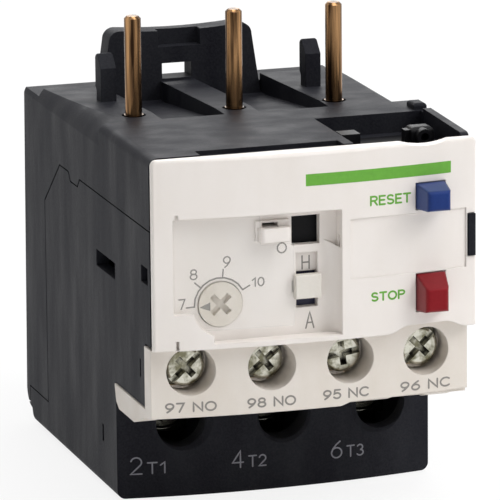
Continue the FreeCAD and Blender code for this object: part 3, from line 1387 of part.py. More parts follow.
def lower_housing():
    """Side walls, base, partition and barriers of the housing."""
    half = HOUSING_HALF
    below = seam_path(-SEAM_GAP / 2) + [(DEPTH + 1, -1), (-1, -1)]
    body = side_prism(housing_path(), -half, half).common(side_prism(below, -half, half))
    body = body.fuse(lower_block())
    body = body.cut(bay_cavity(BAY_FLOOR_Z - 1, PLATEAU_Z))
    body = body.cut(chambers(BAY_FLOOR_Z, PLATEAU_Z, CHAMBER_FRONT))
    body = body.cut(chambers(BASE_FLOOR, BAY_FLOOR_Z + 1, BASE_WALL_BACK))
    body = body.cut(bar_slots()).cut(lever_slot())
    body = body.fuse(neck(COVER_BOTTOM_Z + BLOCK_GAP, SEAM_Z - SEAM_GAP / 2, False))
    outer = WIDTH / 2 - NECK_INSET
    tab = slab(outer, half, TAB_DEPTH, RIM_DEPTH, TAB_BOTTOM_Z, TAB_TOP_Z)
    body = body.fuse(tab).fuse(lever_bracket())
    slot_back = SIDE_SLOT_FRONT + SIDE_SLOT_LENGTH
    slot_top = SIDE_SLOT_Z + SIDE_SLOT_HEIGHT
    for x0 in (-half - 1, INNER_HALF - 1):
        body = body.cut(slab(x0, x0 + WALL + 2, SIDE_SLOT_FRONT, slot_back, SIDE_SLOT_Z, slot_top))
    port_back = PORT_FRONT + PORT_LENGTH
    port_top = PORT_BOTTOM_Z + PORT_HEIGHT
    body = body.cut(slab(-half - 1, 1 - INNER_HALF, PORT_FRONT, port_back, PORT_BOTTOM_Z, port_top))
    for front, length, bottom, height in SIDE_SLITS:
        slit = slab(-half - 1, SIDE_SLIT_DEPTH - half, front, front + length, bottom, bottom + height)
        body = body.cut(slit)
    for pole in POLES:
        x = pole_x(BORE_MIDDLE_X, pole)
        body = body.cut(rod_back(BORE_RADIUS, x, BORE_Z, BASE_FRONT - 1, BASE_WALL_BACK + 1))
        rim = BASE_FRONT + bow_at(x, BASE_BOW)
        flare = Part.makeCone(
            BORE_RADIUS + 2 * BORE_CHAMFER,
            BORE_RADIUS,
            2 * BORE_CHAMFER,
            Vector(x, at(rim - BORE_CHAMFER), BORE_Z),
            Vector(0, 1, 0),
        )
        body = body.cut(flare)
        entry_half = WIRE_ENTRY_WIDTH / 2
        entry = (WIRE_ENTRY_FRONT, POWER_PLATE_DEPTH)
        body = body.cut(slab(x - entry_half, x + entry_half, entry[0], entry[1], -1, BASE_FLOOR + 1))
        centre = pole_x(0, pole)
        front = BIMETAL_DEPTH - BIMETAL_WIDTH / 2
        back = BIMETAL_DEPTH + BIMETAL_WIDTH / 2
        pillar = slab(centre - PILLAR_HALF, centre + PILLAR_HALF, front, back, BASE_FLOOR - 1, PILLAR_Z)
        body = body.fuse(pillar)
    return body.cut(bottom_corner(-1)).cut(bottom_corner(1)).removeSplitter()


# ------------------------------------------------------------------ power path
def line_pin(pole):
    """Round pin that enters the terminal of the contactor, with a collar in the housing."""
    x = pole_x(PIN_MIDDLE_X, pole)
    bottom = LINE_LINK_Z + LINK_THICKNESS
    pin = rod_up(PIN_RADIUS, x, PIN_DEPTH, bottom, PIN_TOP_Z)
    pin = pin.makeChamfer(PIN_CHAMFER, edges_where(pin, lambda p: p.z > PIN_TOP_Z - 0.01))
    collar = rod_up(PIN_COLLAR, x, PIN_DEPTH, bottom, PLATEAU_Z + PIN_COLLAR_RISE)
    return pin.fuse(collar).removeSplitter()


def heater_tail_depth():
    """Front and back of the strip that runs along the back of the heater."""
    front = BIMETAL_DEPTH + BIMETAL_WIDTH / 2 + HEATER_GAP
    return front, front + HEATER_WIRE


def line_link(pole):
    """Flat link from the pin to the upper end of the heater."""
    pin_x = pole_x(PIN_MIDDLE_X, pole)
    x = pole_x(0, pole)
    foot = 2 * PIN_RADIUS
    top = LINE_LINK_Z + LINK_THICKNESS
    back = heater_tail_depth()[1]
    turn_depth = PIN_DEPTH + foot
    pad = slab(pin_x - foot, pin_x + foot, PIN_DEPTH - foot, turn_depth, LINE_LINK_Z, top)
    path = [
        (pin_x - PIN_RADIUS, PIN_DEPTH),
        (pin_x + PIN_RADIUS, PIN_DEPTH),
        (x + PIN_RADIUS, turn_depth + foot),
        (x + PIN_RADIUS, back),
        (x - PIN_RADIUS, back),
        (x - PIN_RADIUS, turn_depth + foot),
    ]
    return pad.fuse(plan_prism(path, LINE_LINK_Z, top)).removeSplitter()


def bimetal_strip(pole):
    """Strip that bends when the heater warms it; a narrow tongue reaches the trip bars."""
    x = pole_x(0, pole)
    half = BIMETAL_THICKNESS / 2
    wide = BIMETAL_WIDTH / 2
    slim = BIMETAL_NECK / 2
    strip = slab(x - half, x + half, BIMETAL_DEPTH - wide, BIMETAL_DEPTH + wide,
                 BIMETAL_BOTTOM_Z, BIMETAL_NECK_Z)
    tongue = slab(x - half, x + half, BIMETAL_DEPTH - slim, BIMETAL_DEPTH + slim,
                  BIMETAL_NECK_Z, BIMETAL_TOP_Z)
    return strip.fuse(tongue).removeSplitter()


def heater_winding(pole):
    """Flat heating turns around the bimetal, with a tail at each end."""
    x = pole_x(0, pole)
    inner = BIMETAL_THICKNESS / 2 + HEATER_GAP
    outer = inner + HEATER_WIRE
    deep_in = BIMETAL_WIDTH / 2 + HEATER_GAP
    deep_out = deep_in + HEATER_WIRE
    front = BIMETAL_DEPTH - deep_out
    back = BIMETAL_DEPTH + deep_out
    shapes = []
    for turn in range(HEATER_TURNS):
        z = HEATER_BOTTOM_Z + turn * HEATER_PITCH
        loop = slab(x - outer, x + outer, front, back, z, z + HEATER_TURN)
        hole = slab(x - inner, x + inner, front + HEATER_WIRE, back - HEATER_WIRE,
                    z - 1, z + HEATER_TURN + 1)
        shapes.append(loop.cut(hole))
        if turn:
            left = x - outer if turn % 2 else x + inner
            lower = z - HEATER_PITCH + HEATER_TURN
            shapes.append(slab(left, left + HEATER_WIRE, BIMETAL_DEPTH - 1, BIMETAL_DEPTH + 1, lower, z))
    tail_front, tail_back = heater_tail_depth()
    half = HEATER_WIRE / 2
    top_z = HEATER_BOTTOM_Z + (HEATER_TURNS - 1) * HEATER_PITCH + HEATER_TURN
    shapes.append(slab(x - half, x + half, tail_front, tail_back, top_z, LINE_LINK_Z))
    shapes.append(slab(x - half, x + half, tail_front, tail_back, BIMETAL_BOTTOM_Z, HEATER_BOTTOM_Z))
    return fuse_all(shapes)


def load_link(pole):
    """Terminal plate and the foot that carries bimetal and heater."""
    screw_x = pole_x(BORE_MIDDLE_X, pole)
    x = pole_x(0, pole)
    front = POWER_PLATE_DEPTH
    back = front + POWER_PLATE_THICKNESS
    half = POWER_CLAMP_HALF
    plate = slab(screw_x - half, screw_x + half, front, back, PILLAR_Z, POWER_PLATE_TOP_Z)
    hole = rod_back(POWER_SHANK + RUNNING_GAP, screw_x, BORE_Z, front - 1, back + 1)
    foot_back = heater_tail_depth()[1]
    foot = slab(x - PILLAR_HALF, x + PILLAR_HALF, back, foot_back, PILLAR_Z, BIMETAL_BOTTOM_Z)
    return plate.cut(hole).fuse(foot).removeSplitter()


def power_clamps():
    """Three clamp plates with side wings that press the wires against the terminal plates."""
    front = POWER_HEAD_DEPTH + POWER_HEAD_HEIGHT
    back = front + POWER_CLAMP_THICKNESS
    wing_back = POWER_PLATE_DEPTH - SLIP
    wing = POWER_CLAMP_THICKNESS / 2
    half = POWER_CLAMP_HALF
    clamps = []
    for pole in POLES:
        x = pole_x(BORE_MIDDLE_X, pole)
        plate = slab(x - half, x + half, front, back, BORE_Z - half, POWER_PLATE_TOP_Z)
        hole = rod_back(POWER_SHANK + RUNNING_GAP, x, BORE_Z, front - 1, back + 1)
        plate = plate.cut(hole)
        for left in (x - half, x + half - wing):
            side = slab(left, left + wing, back, wing_back, BORE_Z + POWER_SHANK, POWER_PLATE_TOP_Z)
            plate = plate.fuse(side)
        clamps.append(plate.removeSplitter())
    return Part.makeCompound(clamps)


def power_screws():
    """Three slotted cross-head screws behind the bores of the base."""
    depths = (
        POWER_HEAD_DEPTH,
        POWER_HEAD_DEPTH + POWER_HEAD_HEIGHT,
        POWER_PLATE_DEPTH + 2 * POWER_PLATE_THICKNESS,
    )
    screws = []
    for pole, degrees in zip(POLES, POWER_TURNS):
        x = pole_x(BORE_MIDDLE_X, pole)
        screws.append(driven_screw(x, BORE_Z, POWER_HEAD, POWER_SHANK, depths, degrees))
    return Part.makeCompound(screws)


# ------------------------------------------------------------------ trip gear
def trip_bar(z):
    """Bar across the three poles; each slot leaves the bimetal free behind the bar."""
    front = BIMETAL_DEPTH - BAR_WIDTH / 2
    back = BIMETAL_DEPTH + BAR_WIDTH / 2
    bar = slab(BAR_LEFT, BAR_RIGHT, front, back, z, z + BAR_HEIGHT)
    half = BIMETAL_THICKNESS / 2
    slim = BIMETAL_NECK / 2 + BAR_PLAY
    for pole in POLES:
        x = pole_x(0, pole)
        left = x - half - BAR_TRAVEL - BAR_PLAY
        right = x + half + BAR_PLAY
        bar = bar.cut(slab(left, right, BIMETAL_DEPTH - slim, BIMETAL_DEPTH + slim,
                           z - 1, z + BAR_HEIGHT + 1))
    return bar


def trip_bar_lower():
    return trip_bar(BAR_Z)


def trip_bar_upper():
    return trip_bar(BAR_Z + BAR_HEIGHT + BAR_GAP)


def trip_bar_link():
    """Small lever at the left end that ties the two bars together."""
    z0 = BAR_Z + BAR_HEIGHT
    return slab(BAR_LEFT, BAR_LEFT + LEVER_WIDTH, BIMETAL_DEPTH - 1, BIMETAL_DEPTH + 1, z0, z0 + BAR_GAP)


def trip_lever():
    """Two-armed lever that carries the motion of the bars to the contact carrier."""
    top = BAR_TOP_Z
    arm = slab(LEVER_LEFT, LEVER_RIGHT, LEVER_FRONT, LEVER_REAR, BAR_Z, top)
    hub = rod_up(LEVER_HUB, LEVER_X, LEVER_DEPTH, BAR_Z, top)
    bore = rod_up(LEVER_PIN + RUNNING_GAP, LEVER_X, LEVER_DEPTH, BAR_Z - 1, top + 1)
    return arm.fuse(hub).cut(bore).removeSplitter()


# ------------------------------------------------------------------ nodes
def nodes():
    """Every piece under the name of its file."""
    pieces = {
        "upper_housing": upper_housing(),
        "lower_housing": lower_housing(),
        "front_cover": front_cover(),
        "clear_cover": clear_cover(),
        "control_terminal_block": control_terminal_block(),
        "setting_dial": setting_dial(),
        "dial_cam": dial_cam(),
        "adjusting_lever": adjusting_lever(),
        "compensator_strip": compensator_strip(),
        "reset_button": reset_button(),
        "reset_spring": reset_spring(),
        "stop_button": stop_button(),
        "stop_spring": stop_spring(),
        "selector_knob": selector_knob(),
        "selector_slide": selector_slide(),
        "mechanism_frame": mechanism_frame(),
        "trip_flag": trip_flag(),
        "trip_mark": trip_mark(),
        "contact_carrier": contact_carrier(),
        "bridge_open": bridge_open(),
        "bridge_closed": bridge_closed(),
        "contact_tail_95": contact_tail_95(),
        "contact_tail_96": contact_tail_96(),
        "contact_tail_97": contact_tail_97(),
        "contact_tail_98": contact_tail_98(),
        "control_screws": control_screws(),
        "control_clamps": control_clamps(),
        "power_screws": power_screws(),
        "power_clamps": power_clamps(),
        "trip_bar_lower": trip_bar_lower(),
        "trip_bar_upper": trip_bar_upper(),
        "trip_bar_link": trip_bar_link(),
        "trip_lever": trip_lever(),
    }
    for number, pole in enumerate(POLES, start=1):
        pieces["line_pin_%d" % number] = line_pin(pole)
        pieces["line_link_%d" % number] = line_link(pole)
        pieces["bimetal_strip_%d" % number] = bimetal_strip(pole)
        pieces["heater_winding_%d" % number] = heater_winding(pole)
        pieces["load_link_%d" % number] = load_link(pole)
    return pieces


def main():
    os.makedirs("parts", exist_ok=True)
    for name, shape in nodes().items():
        shape.exportStep("parts/%s.step" % name)
        print("%-24s %2d solid(s) valid %s volume %9.2f" % (
            name, len(shape.Solids), shape.isValid(), shape.Volume))


main()
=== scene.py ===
"""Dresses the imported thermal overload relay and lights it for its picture.

Sizes in the classes are millimetres. Everything becomes metres when it is made a mesh.
"""

import json
import logging
import math
from dataclasses import dataclass
from enum import Enum
from typing import Callable, Optional

import bmesh
import bpy
from mathutils import Matrix, Vector
from mathutils.bvhtree import BVHTree

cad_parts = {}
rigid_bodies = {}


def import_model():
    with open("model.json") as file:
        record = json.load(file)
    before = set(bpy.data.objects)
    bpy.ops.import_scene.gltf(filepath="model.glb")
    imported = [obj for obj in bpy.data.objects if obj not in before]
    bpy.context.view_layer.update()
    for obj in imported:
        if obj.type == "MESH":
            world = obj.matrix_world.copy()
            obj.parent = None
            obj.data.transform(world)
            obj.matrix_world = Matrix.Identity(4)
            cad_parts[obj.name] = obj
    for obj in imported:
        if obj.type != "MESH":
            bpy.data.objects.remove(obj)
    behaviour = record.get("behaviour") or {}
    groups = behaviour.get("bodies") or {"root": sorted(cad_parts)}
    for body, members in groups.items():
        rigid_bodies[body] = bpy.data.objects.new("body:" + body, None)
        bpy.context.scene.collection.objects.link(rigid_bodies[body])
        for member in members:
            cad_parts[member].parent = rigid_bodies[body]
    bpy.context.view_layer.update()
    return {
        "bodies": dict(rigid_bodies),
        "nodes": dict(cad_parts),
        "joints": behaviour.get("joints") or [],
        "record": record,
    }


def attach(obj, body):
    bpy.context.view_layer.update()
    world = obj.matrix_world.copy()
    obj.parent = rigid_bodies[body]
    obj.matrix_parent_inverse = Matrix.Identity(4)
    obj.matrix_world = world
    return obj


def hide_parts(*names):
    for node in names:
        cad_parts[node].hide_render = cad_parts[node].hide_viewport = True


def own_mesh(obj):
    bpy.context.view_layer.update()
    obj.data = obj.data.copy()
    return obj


log = logging.getLogger("relay")

MM = 0.001
INK_SINK = 0.03          # a print's foot lies this deep under the skin
INK_LAYER = 0.0012       # crossing strokes stand this much over each other
INK_LAYERS = 7
STROKE_STEP = 0.9        # longest straight piece of a stroke on the bowed front
PATCH_STEP = 0.8         # widest strip of a patch
SHARPEST_TURN = 0.3      # under this the two directions of a bend cancel out, and it isn't mitred
LEAST_MITRE = 0.55       # keeps the corner of a sharp bend from growing
ROUND_END = ((0.34, 0.74), (0.5, 0.3))   # reach and width of a stroke's end, as shares of the pen

Point = tuple[float, float]
Place = Callable[[float, float, float], Vector]


class Body(Enum):
    """The bodies that the scene's own pieces ride on."""

    HOUSING = "housing"
    DIAL = "dial"


def linear(colour: str) -> tuple[float, float, float, float]:
    """Turns an sRGB hex colour into linear light.

    Args:
        colour: six hex digits after a hash, such as "#e8e4de".

    Returns:
        Red, green, blue and an alpha of 1.
    """
    channels = [int(colour[i:i + 2], 16) / 255 for i in (1, 3, 5)]
    light = [c / 12.92 if c <= 0.04045 else ((c + 0.055) / 1.055) ** 2.4 for c in channels]
    return (light[0], light[1], light[2], 1.0)


def add_node(tree: bpy.types.NodeTree, kind: str, settings: Optional[dict] = None,
             links: Optional[dict] = None) -> bpy.types.Node:
    """Adds one node to a tree with its settings and its links.

    Args:
        tree: the node tree.
        kind: the node's type name.
        settings: attribute names, or input names and numbers, with their values.
        links: input names or numbers, with the output socket that feeds each.

    Returns:
        The new node.
    """
    made = tree.nodes.new(kind)
    for key, value in (settings or {}).items():
        if isinstance(key, str) and hasattr(made, key):
            setattr(made, key, value)
        else:
            made.inputs[key].default_value = value
    for key, source in (links or {}).items():
        tree.links.new(source, made.inputs[key])
    return made


def per_metre(sizes_mm: tuple[float, float, float]) -> tuple[float, ...]:
    """Turns a pattern's sizes in millimetres into the scale of its coordinates."""
    return tuple(1 / (size * MM) for size in sizes_mm)


def new_material(name: str) -> tuple[bpy.types.Material, bpy.types.NodeTree]:
    """Makes an empty node material.

    Args:
        name: what the material is called.

    Returns:
        The material and its tree, with no nodes in it.
    """
    material = bpy.data.materials.new(name)
    material.use_nodes = True
    material.node_tree.nodes.clear()
    return material, material.node_tree


@dataclass(frozen=True)
class Moulding:
    """A moulded thermoplastic: its colour, the grain of its tool and the bloom of handling."""

    name: str
    colour: str
    bloom: str
    roughness: float
    grain_mm: float
    grain_depth_mm: float
    bloom_share: float = 0.5
    bloom_mm: tuple[float, float, float] = (6.0, 6.0, 14.0)
    speck_share: float = 0.3
    specular: float = 0.5
    edge_mm: float = 0.12
    swing: float = 0.06
    sheen: float = 0.0

    def build(self) -> bpy.types.Material:
        """Mixes bloom over the colour and adds roughness drift, tool grain and eased edges.

        Returns:
            The material.
        """
        material, tree = new_material(self.name)
        place = add_node(tree, "ShaderNodeTexCoord").outputs["Object"]
        spread = add_node(tree, "ShaderNodeMapping", {"Scale": per_metre(self.bloom_mm)},
                          {"Vector": place})
        cloud = add_node(tree, "ShaderNodeTexNoise", {"Scale": 1.0, "Detail": 2.5, "Roughness": 0.5},
                         {"Vector": spread.outputs[0]})
        grain = add_node(tree, "ShaderNodeTexNoise",
                         {"Scale": 1 / (self.grain_mm * MM), "Detail": 3.0, "Roughness": 0.6},
                         {"Vector": place})
        patch = add_node(tree, "ShaderNodeMapRange", {1: 0.36, 2: 0.7, 3: 0.0, 4: self.bloom_share},
                         {0: cloud.outputs[0]})
        speck = add_node(tree, "ShaderNodeMapRange", {1: 0.35, 2: 0.72, 3: 0.0, 4: self.speck_share},
                         {0: grain.outputs[0]})
        cover = add_node(tree, "ShaderNodeMath", {"operation": "ADD", "use_clamp": True},
                         {0: patch.outputs[0], 1: speck.outputs[0]})
        colour = add_node(tree, "ShaderNodeMix",
                          {"data_type": "RGBA", 6: linear(self.colour), 7: linear(self.bloom)},
                          {0: cover.outputs[0]})
        smooth, dull = self.roughness - self.swing, self.roughness + self.swing
        rough = add_node(tree, "ShaderNodeMapRange", {1: 0.3, 2: 0.7, 3: smooth, 4: dull},
                         {0: cloud.outputs[0]})
        eased = add_node(tree, "ShaderNodeBevel", {"samples": 4, "Radius": self.edge_mm * MM})
        bump = add_node(tree, "ShaderNodeBump",
                        {"Strength": 1.0, "Distance": self.grain_depth_mm * MM},
                        {"Height": grain.outputs[0], "Normal": eased.outputs[0]})
        shader = add_node(tree, "ShaderNodeBsdfPrincipled",
                          {"IOR": 1.5, "Specular IOR Level": self.specular,
                           "Sheen Weight": self.sheen, "Sheen Roughness": 0.35},
                          {"Base Color": colour.outputs[2], "Roughness": rough.outputs[0],
                           "Normal": bump.outputs[0]})
        add_node(tree, "ShaderNodeOutputMaterial", None, {"Surface": shader.outputs[0]})
        return material


@dataclass(frozen=True)
class Metal:
    """A bare or plated metal with the lines or mottle of how it was made, painted reflection streaks
    where its mottle is stretched, and painted shade in its recesses.
    """

    name: str
    colour: str
    dark: str
    roughness: float
    line_mm: float
    stretch: tuple[float, float, float] = (1.0, 1.0, 1.0)
    depth_mm: float = 0.004
    tarnish_and_reflection_mm: tuple[float, float, float] = (1.6, 1.6, 1.6)
    tarnish_and_reflection: tuple[float, float] = (0.3, 0.7)
    painted_recess_shade: float = 0.0
    painted_recess_shade_mm: float = 0.5

    def build(self) -> bpy.types.Material:
        """Mixes a mottle of tarnish and painted reflection streaks over the metal, darkens its
        recesses with painted shade and adds roughness and fine lines.

        Returns:
            The material.
        """
        material, tree = new_material(self.name)
        place = add_node(tree, "ShaderNodeTexCoord").outputs["Object"]
        turned = add_node(tree, "ShaderNodeMapping", {"Scale": self.stretch}, {"Vector": place})
        lines = add_node(tree, "ShaderNodeTexNoise",
                         {"Scale": 1 / (self.line_mm * MM), "Detail": 5.0, "Roughness": 0.65},
                         {"Vector": turned.outputs[0]})
        # The mottle mixes the dark colour over the light one; on the bronze pins it is stretched into
        # streaks that are painted reflections.
        spread = add_node(tree, "ShaderNodeMapping", {"Scale": per_metre(self.tarnish_and_reflection_mm)},
                          {"Vector": place})
        mottle = add_node(tree, "ShaderNodeTexNoise", {"Scale": 1.0, "Detail": 3.0},
                          {"Vector": spread.outputs[0]})
        share = add_node(tree, "ShaderNodeMapRange", {1: self.tarnish_and_reflection[0], 2: self.tarnish_and_reflection[1]},
                         {0: mottle.outputs[0]})
        colour = add_node(tree, "ShaderNodeMix",
                          {"data_type": "RGBA", 6: linear(self.dark), 7: linear(self.colour)},
                          {0: share.outputs[0]})
        # Painted shade: ambient occlusion darkens the colour towards near-black in recesses and next
        # to other surfaces.
        openness = add_node(tree, "ShaderNodeAmbientOcclusion",
                            {"samples": 6, "Distance": self.painted_recess_shade_mm * MM})
        recess_shade_share = add_node(tree, "ShaderNodeMapRange", {1: 0.45, 2: 0.95, 3: self.painted_recess_shade, 4: 0.0},
                        {0: openness.outputs["AO"]})
        recess_shaded_colour = add_node(tree, "ShaderNodeMix", {"data_type": "RGBA", 7: linear("#141109")},
                          {0: recess_shade_share.outputs[0], 6: colour.outputs[2]})
        rough = add_node(tree, "ShaderNodeMapRange",
                         {3: max(0.05, self.roughness - 0.08), 4: self.roughness + 0.08},
                         {0: lines.outputs[0]})
        bump = add_node(tree, "ShaderNodeBump", {"Strength": 1.0, "Distance": self.depth_mm * MM},
                        {"Height": lines.outputs[0]})
        shader = add_node(tree, "ShaderNodeBsdfPrincipled", {"Metallic": 1.0},
                          {"Base Color": recess_shaded_colour.outputs[2], "Roughness": rough.outputs[0],
                           "Normal": bump.outputs[0]})
        add_node(tree, "ShaderNodeOutputMaterial", None, {"Surface": shader.outputs[0]})
        return material


@dataclass(frozen=True)
class ClearSheet:
    """A clear polished moulding, such as polycarbonate: seen mostly by its gloss and by its edges,
    where a painted reflection makes its white more opaque.
    """

    name: str
    colour: str
    haze: float
    painted_rim_reflection: float

    def build(self) -> bpy.types.Material:
        """Makes it see-through face on and more solid white where it turns away, a painted glancing
        reflection.

        Returns:
            The material.
        """
        material, tree = new_material(self.name)
        place = add_node(tree, "ShaderNodeTexCoord").outputs["Object"]
        swirl = add_node(tree, "ShaderNodeTexNoise", {"Scale": 1 / (4 * MM), "Detail": 2.0},
                         {"Vector": place})
        # Painted reflection: the white grows more opaque where the sheet turns away from the view.
        facing = add_node(tree, "ShaderNodeLayerWeight", {"Blend": 0.12})
        alpha = add_node(tree, "ShaderNodeMapRange", {3: self.haze, 4: self.painted_rim_reflection},
                         {0: facing.outputs["Facing"]})
        rough = add_node(tree, "ShaderNodeMapRange", {3: 0.04, 4: 0.1}, {0: swirl.outputs[0]})
        shader = add_node(tree, "ShaderNodeBsdfPrincipled",
                          {"Base Color": linear(self.colour), "IOR": 1.58},
                          {"Alpha": alpha.outputs[0], "Roughness": rough.outputs[0]})
        add_node(tree, "ShaderNodeOutputMaterial", None, {"Surface": shader.outputs[0]})
        return material


@dataclass(frozen=True)
class Ink:
    """A pad print or laser mark: a thin matt film, a little uneven."""

    name: str
    colour: str
    roughness: float = 0.55
    wander: float = 0.12

    def build(self) -> bpy.types.Material:
        """Makes a colour that thins in places.

        Returns:
            The material.
        """
        material, tree = new_material(self.name)
        place = add_node(tree, "ShaderNodeTexCoord").outputs["Object"]
        film = add_node(tree, "ShaderNodeTexNoise", {"Scale": 1 / (0.6 * MM), "Detail": 3.0},
                        {"Vector": place})
        red, green, blue, _ = linear(self.colour)
        thin = tuple(min(1.0, c * (1 + self.wander)) for c in (red, green, blue)) + (1.0,)
        thick = tuple(c * (1 - self.wander) for c in (red, green, blue)) + (1.0,)
        colour = add_node(tree, "ShaderNodeMix", {"data_type": "RGBA", 6: thick, 7: thin},
                          {0: film.outputs[0]})
        shader = add_node(tree, "ShaderNodeBsdfPrincipled",
                          {"Roughness": self.roughness, "IOR": 1.45},
                          {"Base Color": colour.outputs[2]})
        add_node(tree, "ShaderNodeOutputMaterial", None, {"Surface": shader.outputs[0]})
        return material


class Finishes:
    """Every finish on the relay, built once and found by the record's slot or by the piece."""

    def __init__(self) -> None:
        """Builds all the materials."""
        # Glass-filled polyamide from an eroded tool: matt, and its fine grain greys in the light.
        dark_nylon = Moulding("moulded_polyamide_black", "#1a1a20", "#2d2e32", 0.5, 0.28, 0.035,
                              bloom_share=0.5, bloom_mm=(5.0, 3.5, 18.0), speck_share=0.5,
                              specular=0.05, swing=0.09)
        # Polycarbonate blend from a polished tool: warm white, satin, nearly no grain.
        white_cover = Moulding("moulded_polycarbonate_white", "#e7e1dc", "#e0d9d2", 0.42, 0.5, 0.002,
                               bloom_mm=(5.0, 5.0, 16.0), speck_share=0.1, specular=0.35, edge_mm=0.2)
        # The strip is a polyamide of its own: a little darker, yellower and duller than the cover.
        white_terminal = Moulding("moulded_polyamide_white", "#ded7cf", "#d4cbc0", 0.5, 0.4, 0.003,
                                  bloom_share=0.6, bloom_mm=(5.0, 5.0, 8.0), speck_share=0.15,
                                  specular=0.35, edge_mm=0.15)
        # Acetal keys: deep colour to the front, and a bloom where the light grazes them.
        blue_button = Moulding("moulded_acetal_blue", "#152c66", "#1d3a7c", 0.4, 0.35, 0.003,
                               specular=0.14, edge_mm=0.45, sheen=0.55)
        red_button = Moulding("moulded_acetal_red", "#76040f", "#88101c", 0.4, 0.35, 0.003,
                              specular=0.14, edge_mm=0.45, sheen=0.8)
        # Zinc plating with a greenish passivation; painted shade from ambient occlusion darkens its
        # recesses and leaves the heads bright.
        zinc_steel = Metal("zinc_plated_steel", "#cfcdc0", "#77745f", 0.22, 0.25,
                           tarnish_and_reflection_mm=(1.3, 1.3, 1.3), tarnish_and_reflection=(0.35, 0.6), painted_recess_shade=0.95, painted_recess_shade_mm=0.7)
        # Drawn bronze: its lines run along the pin, and so do dark and golden streaks that are painted
        # reflections; painted shade darkens it next to other surfaces.
        bronze_pin = Metal("drawn_bronze", "#b58c62", "#2c1e14", 0.22, 0.12, stretch=(1.0, 1.0, 0.06),
                           tarnish_and_reflection_mm=(0.8, 0.8, 16.0), tarnish_and_reflection=(0.36, 0.66), painted_recess_shade=0.9, painted_recess_shade_mm=0.6)
        self.slots = {
            "dark_nylon": dark_nylon.build(),
            "white_cover": white_cover.build(),
            "white_terminal": white_terminal.build(),
            # Clear polycarbonate: hardly there face on, and seen by its edges, where a painted
            # reflection turns it more opaque white.
            "clear_plastic": ClearSheet("moulded_polycarbonate_clear", "#f2f4f2", 0.04, 0.4).build(),
            # Small plain mouldings: satin, with next to no grain at their size.
            "ivory_dial": Moulding("moulded_acetal_ivory", "#dcd5cb", "#c9c0b2", 0.4, 0.4,
                                   0.002).build(),
            "black_plastic": Moulding("moulded_polyamide_jet", "#0d0d0f", "#1c1c1f", 0.45, 0.3, 0.005,
                                      specular=0.12).build(),
            "orange_mark": Moulding("moulded_acetal_orange", "#e06a1c", "#c85a14", 0.4, 0.4,
                                    0.002).build(),
            "blue_button": blue_button.build(),
            "red_button": red_button.build(),
            "white_knob": Moulding("moulded_acetal_white", "#dcd7cf", "#d0cac0", 0.42, 0.4,
                                   0.002).build(),
            "navy_slide": Moulding("moulded_acetal_navy", "#1d1d3c", "#2a2a4c", 0.45, 0.4,
                                   0.003).build(),
            # Drawn and rolled strip and wire inside the relay: bright, with faint mill lines.
            "spring_steel": Metal("drawn_spring_steel", "#b9bab8", "#8d8e8c", 0.3, 0.2).build(),
            "zinc_steel": zinc_steel.build(),
            "brass": Metal("rolled_brass", "#d8b878", "#a88850", 0.32, 0.2).build(),
            "bronze_pin": bronze_pin.build(),
            "bimetal": Metal("rolled_bimetal", "#b4b0a8", "#8f8b84", 0.35, 0.2).build(),
            "heater_alloy": Metal("rolled_nickel_chrome", "#96918b", "#6e6a66", 0.4, 0.2).build(),
        }
        # Laser marks burn the white plastic grey; pad prints lie on it as a thin coloured film.
        self.grey_ink = Ink("laser_mark_grey", "#86827d").build()
        self.pale_ink = Ink("pad_print_pale_grey", "#7c7c83").build()
        self.green_ink = Ink("pad_print_green", "#61a234").build()

    def dress_frame(self, nodes: dict[str, bpy.types.Object]) -> None:
        """Gives every CAD node the finish of its slot.

        Args:
            nodes: the frame's nodes by name.
        """
        for name, node in nodes.items():
            for held in node.material_slots:
                slot = held.material.name.split(".")[0]
                if slot not in self.slots:
                    raise ValueError(f"node {name} has a slot with no finish: {slot}")
                held.material = self.slots[slot]


class Surface:
    """A CAD node's skin, to lay prints on."""

    def __init__(self, node: bpy.types.Object) -> None:
        """Reads the node's faces.

        Args:
            node: the CAD node.
        """
        mesh = node.data
        corners = [v.co.copy() for v in mesh.vertices]
        self.skin = BVHTree.FromPolygons(corners, [tuple(p.vertices) for p in mesh.polygons])

    def front(self, x: float, z: float, rise: float) -> Vector:
        """Finds the point on the front, at x and z in millimetres, standing out by rise.

        Args:
            x: across, in millimetres.
            z: up, in millimetres.
            rise: how far in front of the skin, in millimetres.

        Returns:
            The point in metres.
        """
        hit, _, _, _ = self.skin.ray_cast(Vector((x * MM, -1.0, z * MM)), Vector((0, 1, 0)))
        if hit is None:
            raise ValueError(f"nothing to print on at {x:.2f}, {z:.2f}")
        return Vector((x * MM, hit.y - rise * MM, z * MM))


def finish_piece(name: str, bm: bmesh.types.BMesh, body: Body,
                 material: bpy.types.Material, smooth: float = 35.0) -> bpy.types.Object:
    """Turns a bmesh into a piece that rides on a body.

    Args:
        name: the piece's name.
        bm: its mesh, in metres, which is freed.
        body: the body that it rides on.
        material: its finish.
        smooth: edges under this angle, in degrees, are shaded smooth.

    Returns:
        The piece.
    """
    bmesh.ops.remove_doubles(bm, verts=bm.verts, dist=1e-7)
    bmesh.ops.recalc_face_normals(bm, faces=bm.faces)
    mesh = bpy.data.meshes.new(name)
    bm.to_mesh(mesh)
    bm.free()
    mesh.materials.append(material)
    mesh.shade_smooth()
    mesh.set_sharp_from_angle(angle=math.radians(smooth))
    piece = bpy.data.objects.new(name, mesh)
    bpy.context.scene.collection.objects.link(piece)
    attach(piece, body.value)
    log.info("made %s: %d faces on %s", name, len(mesh.polygons), body.value)
    return piece


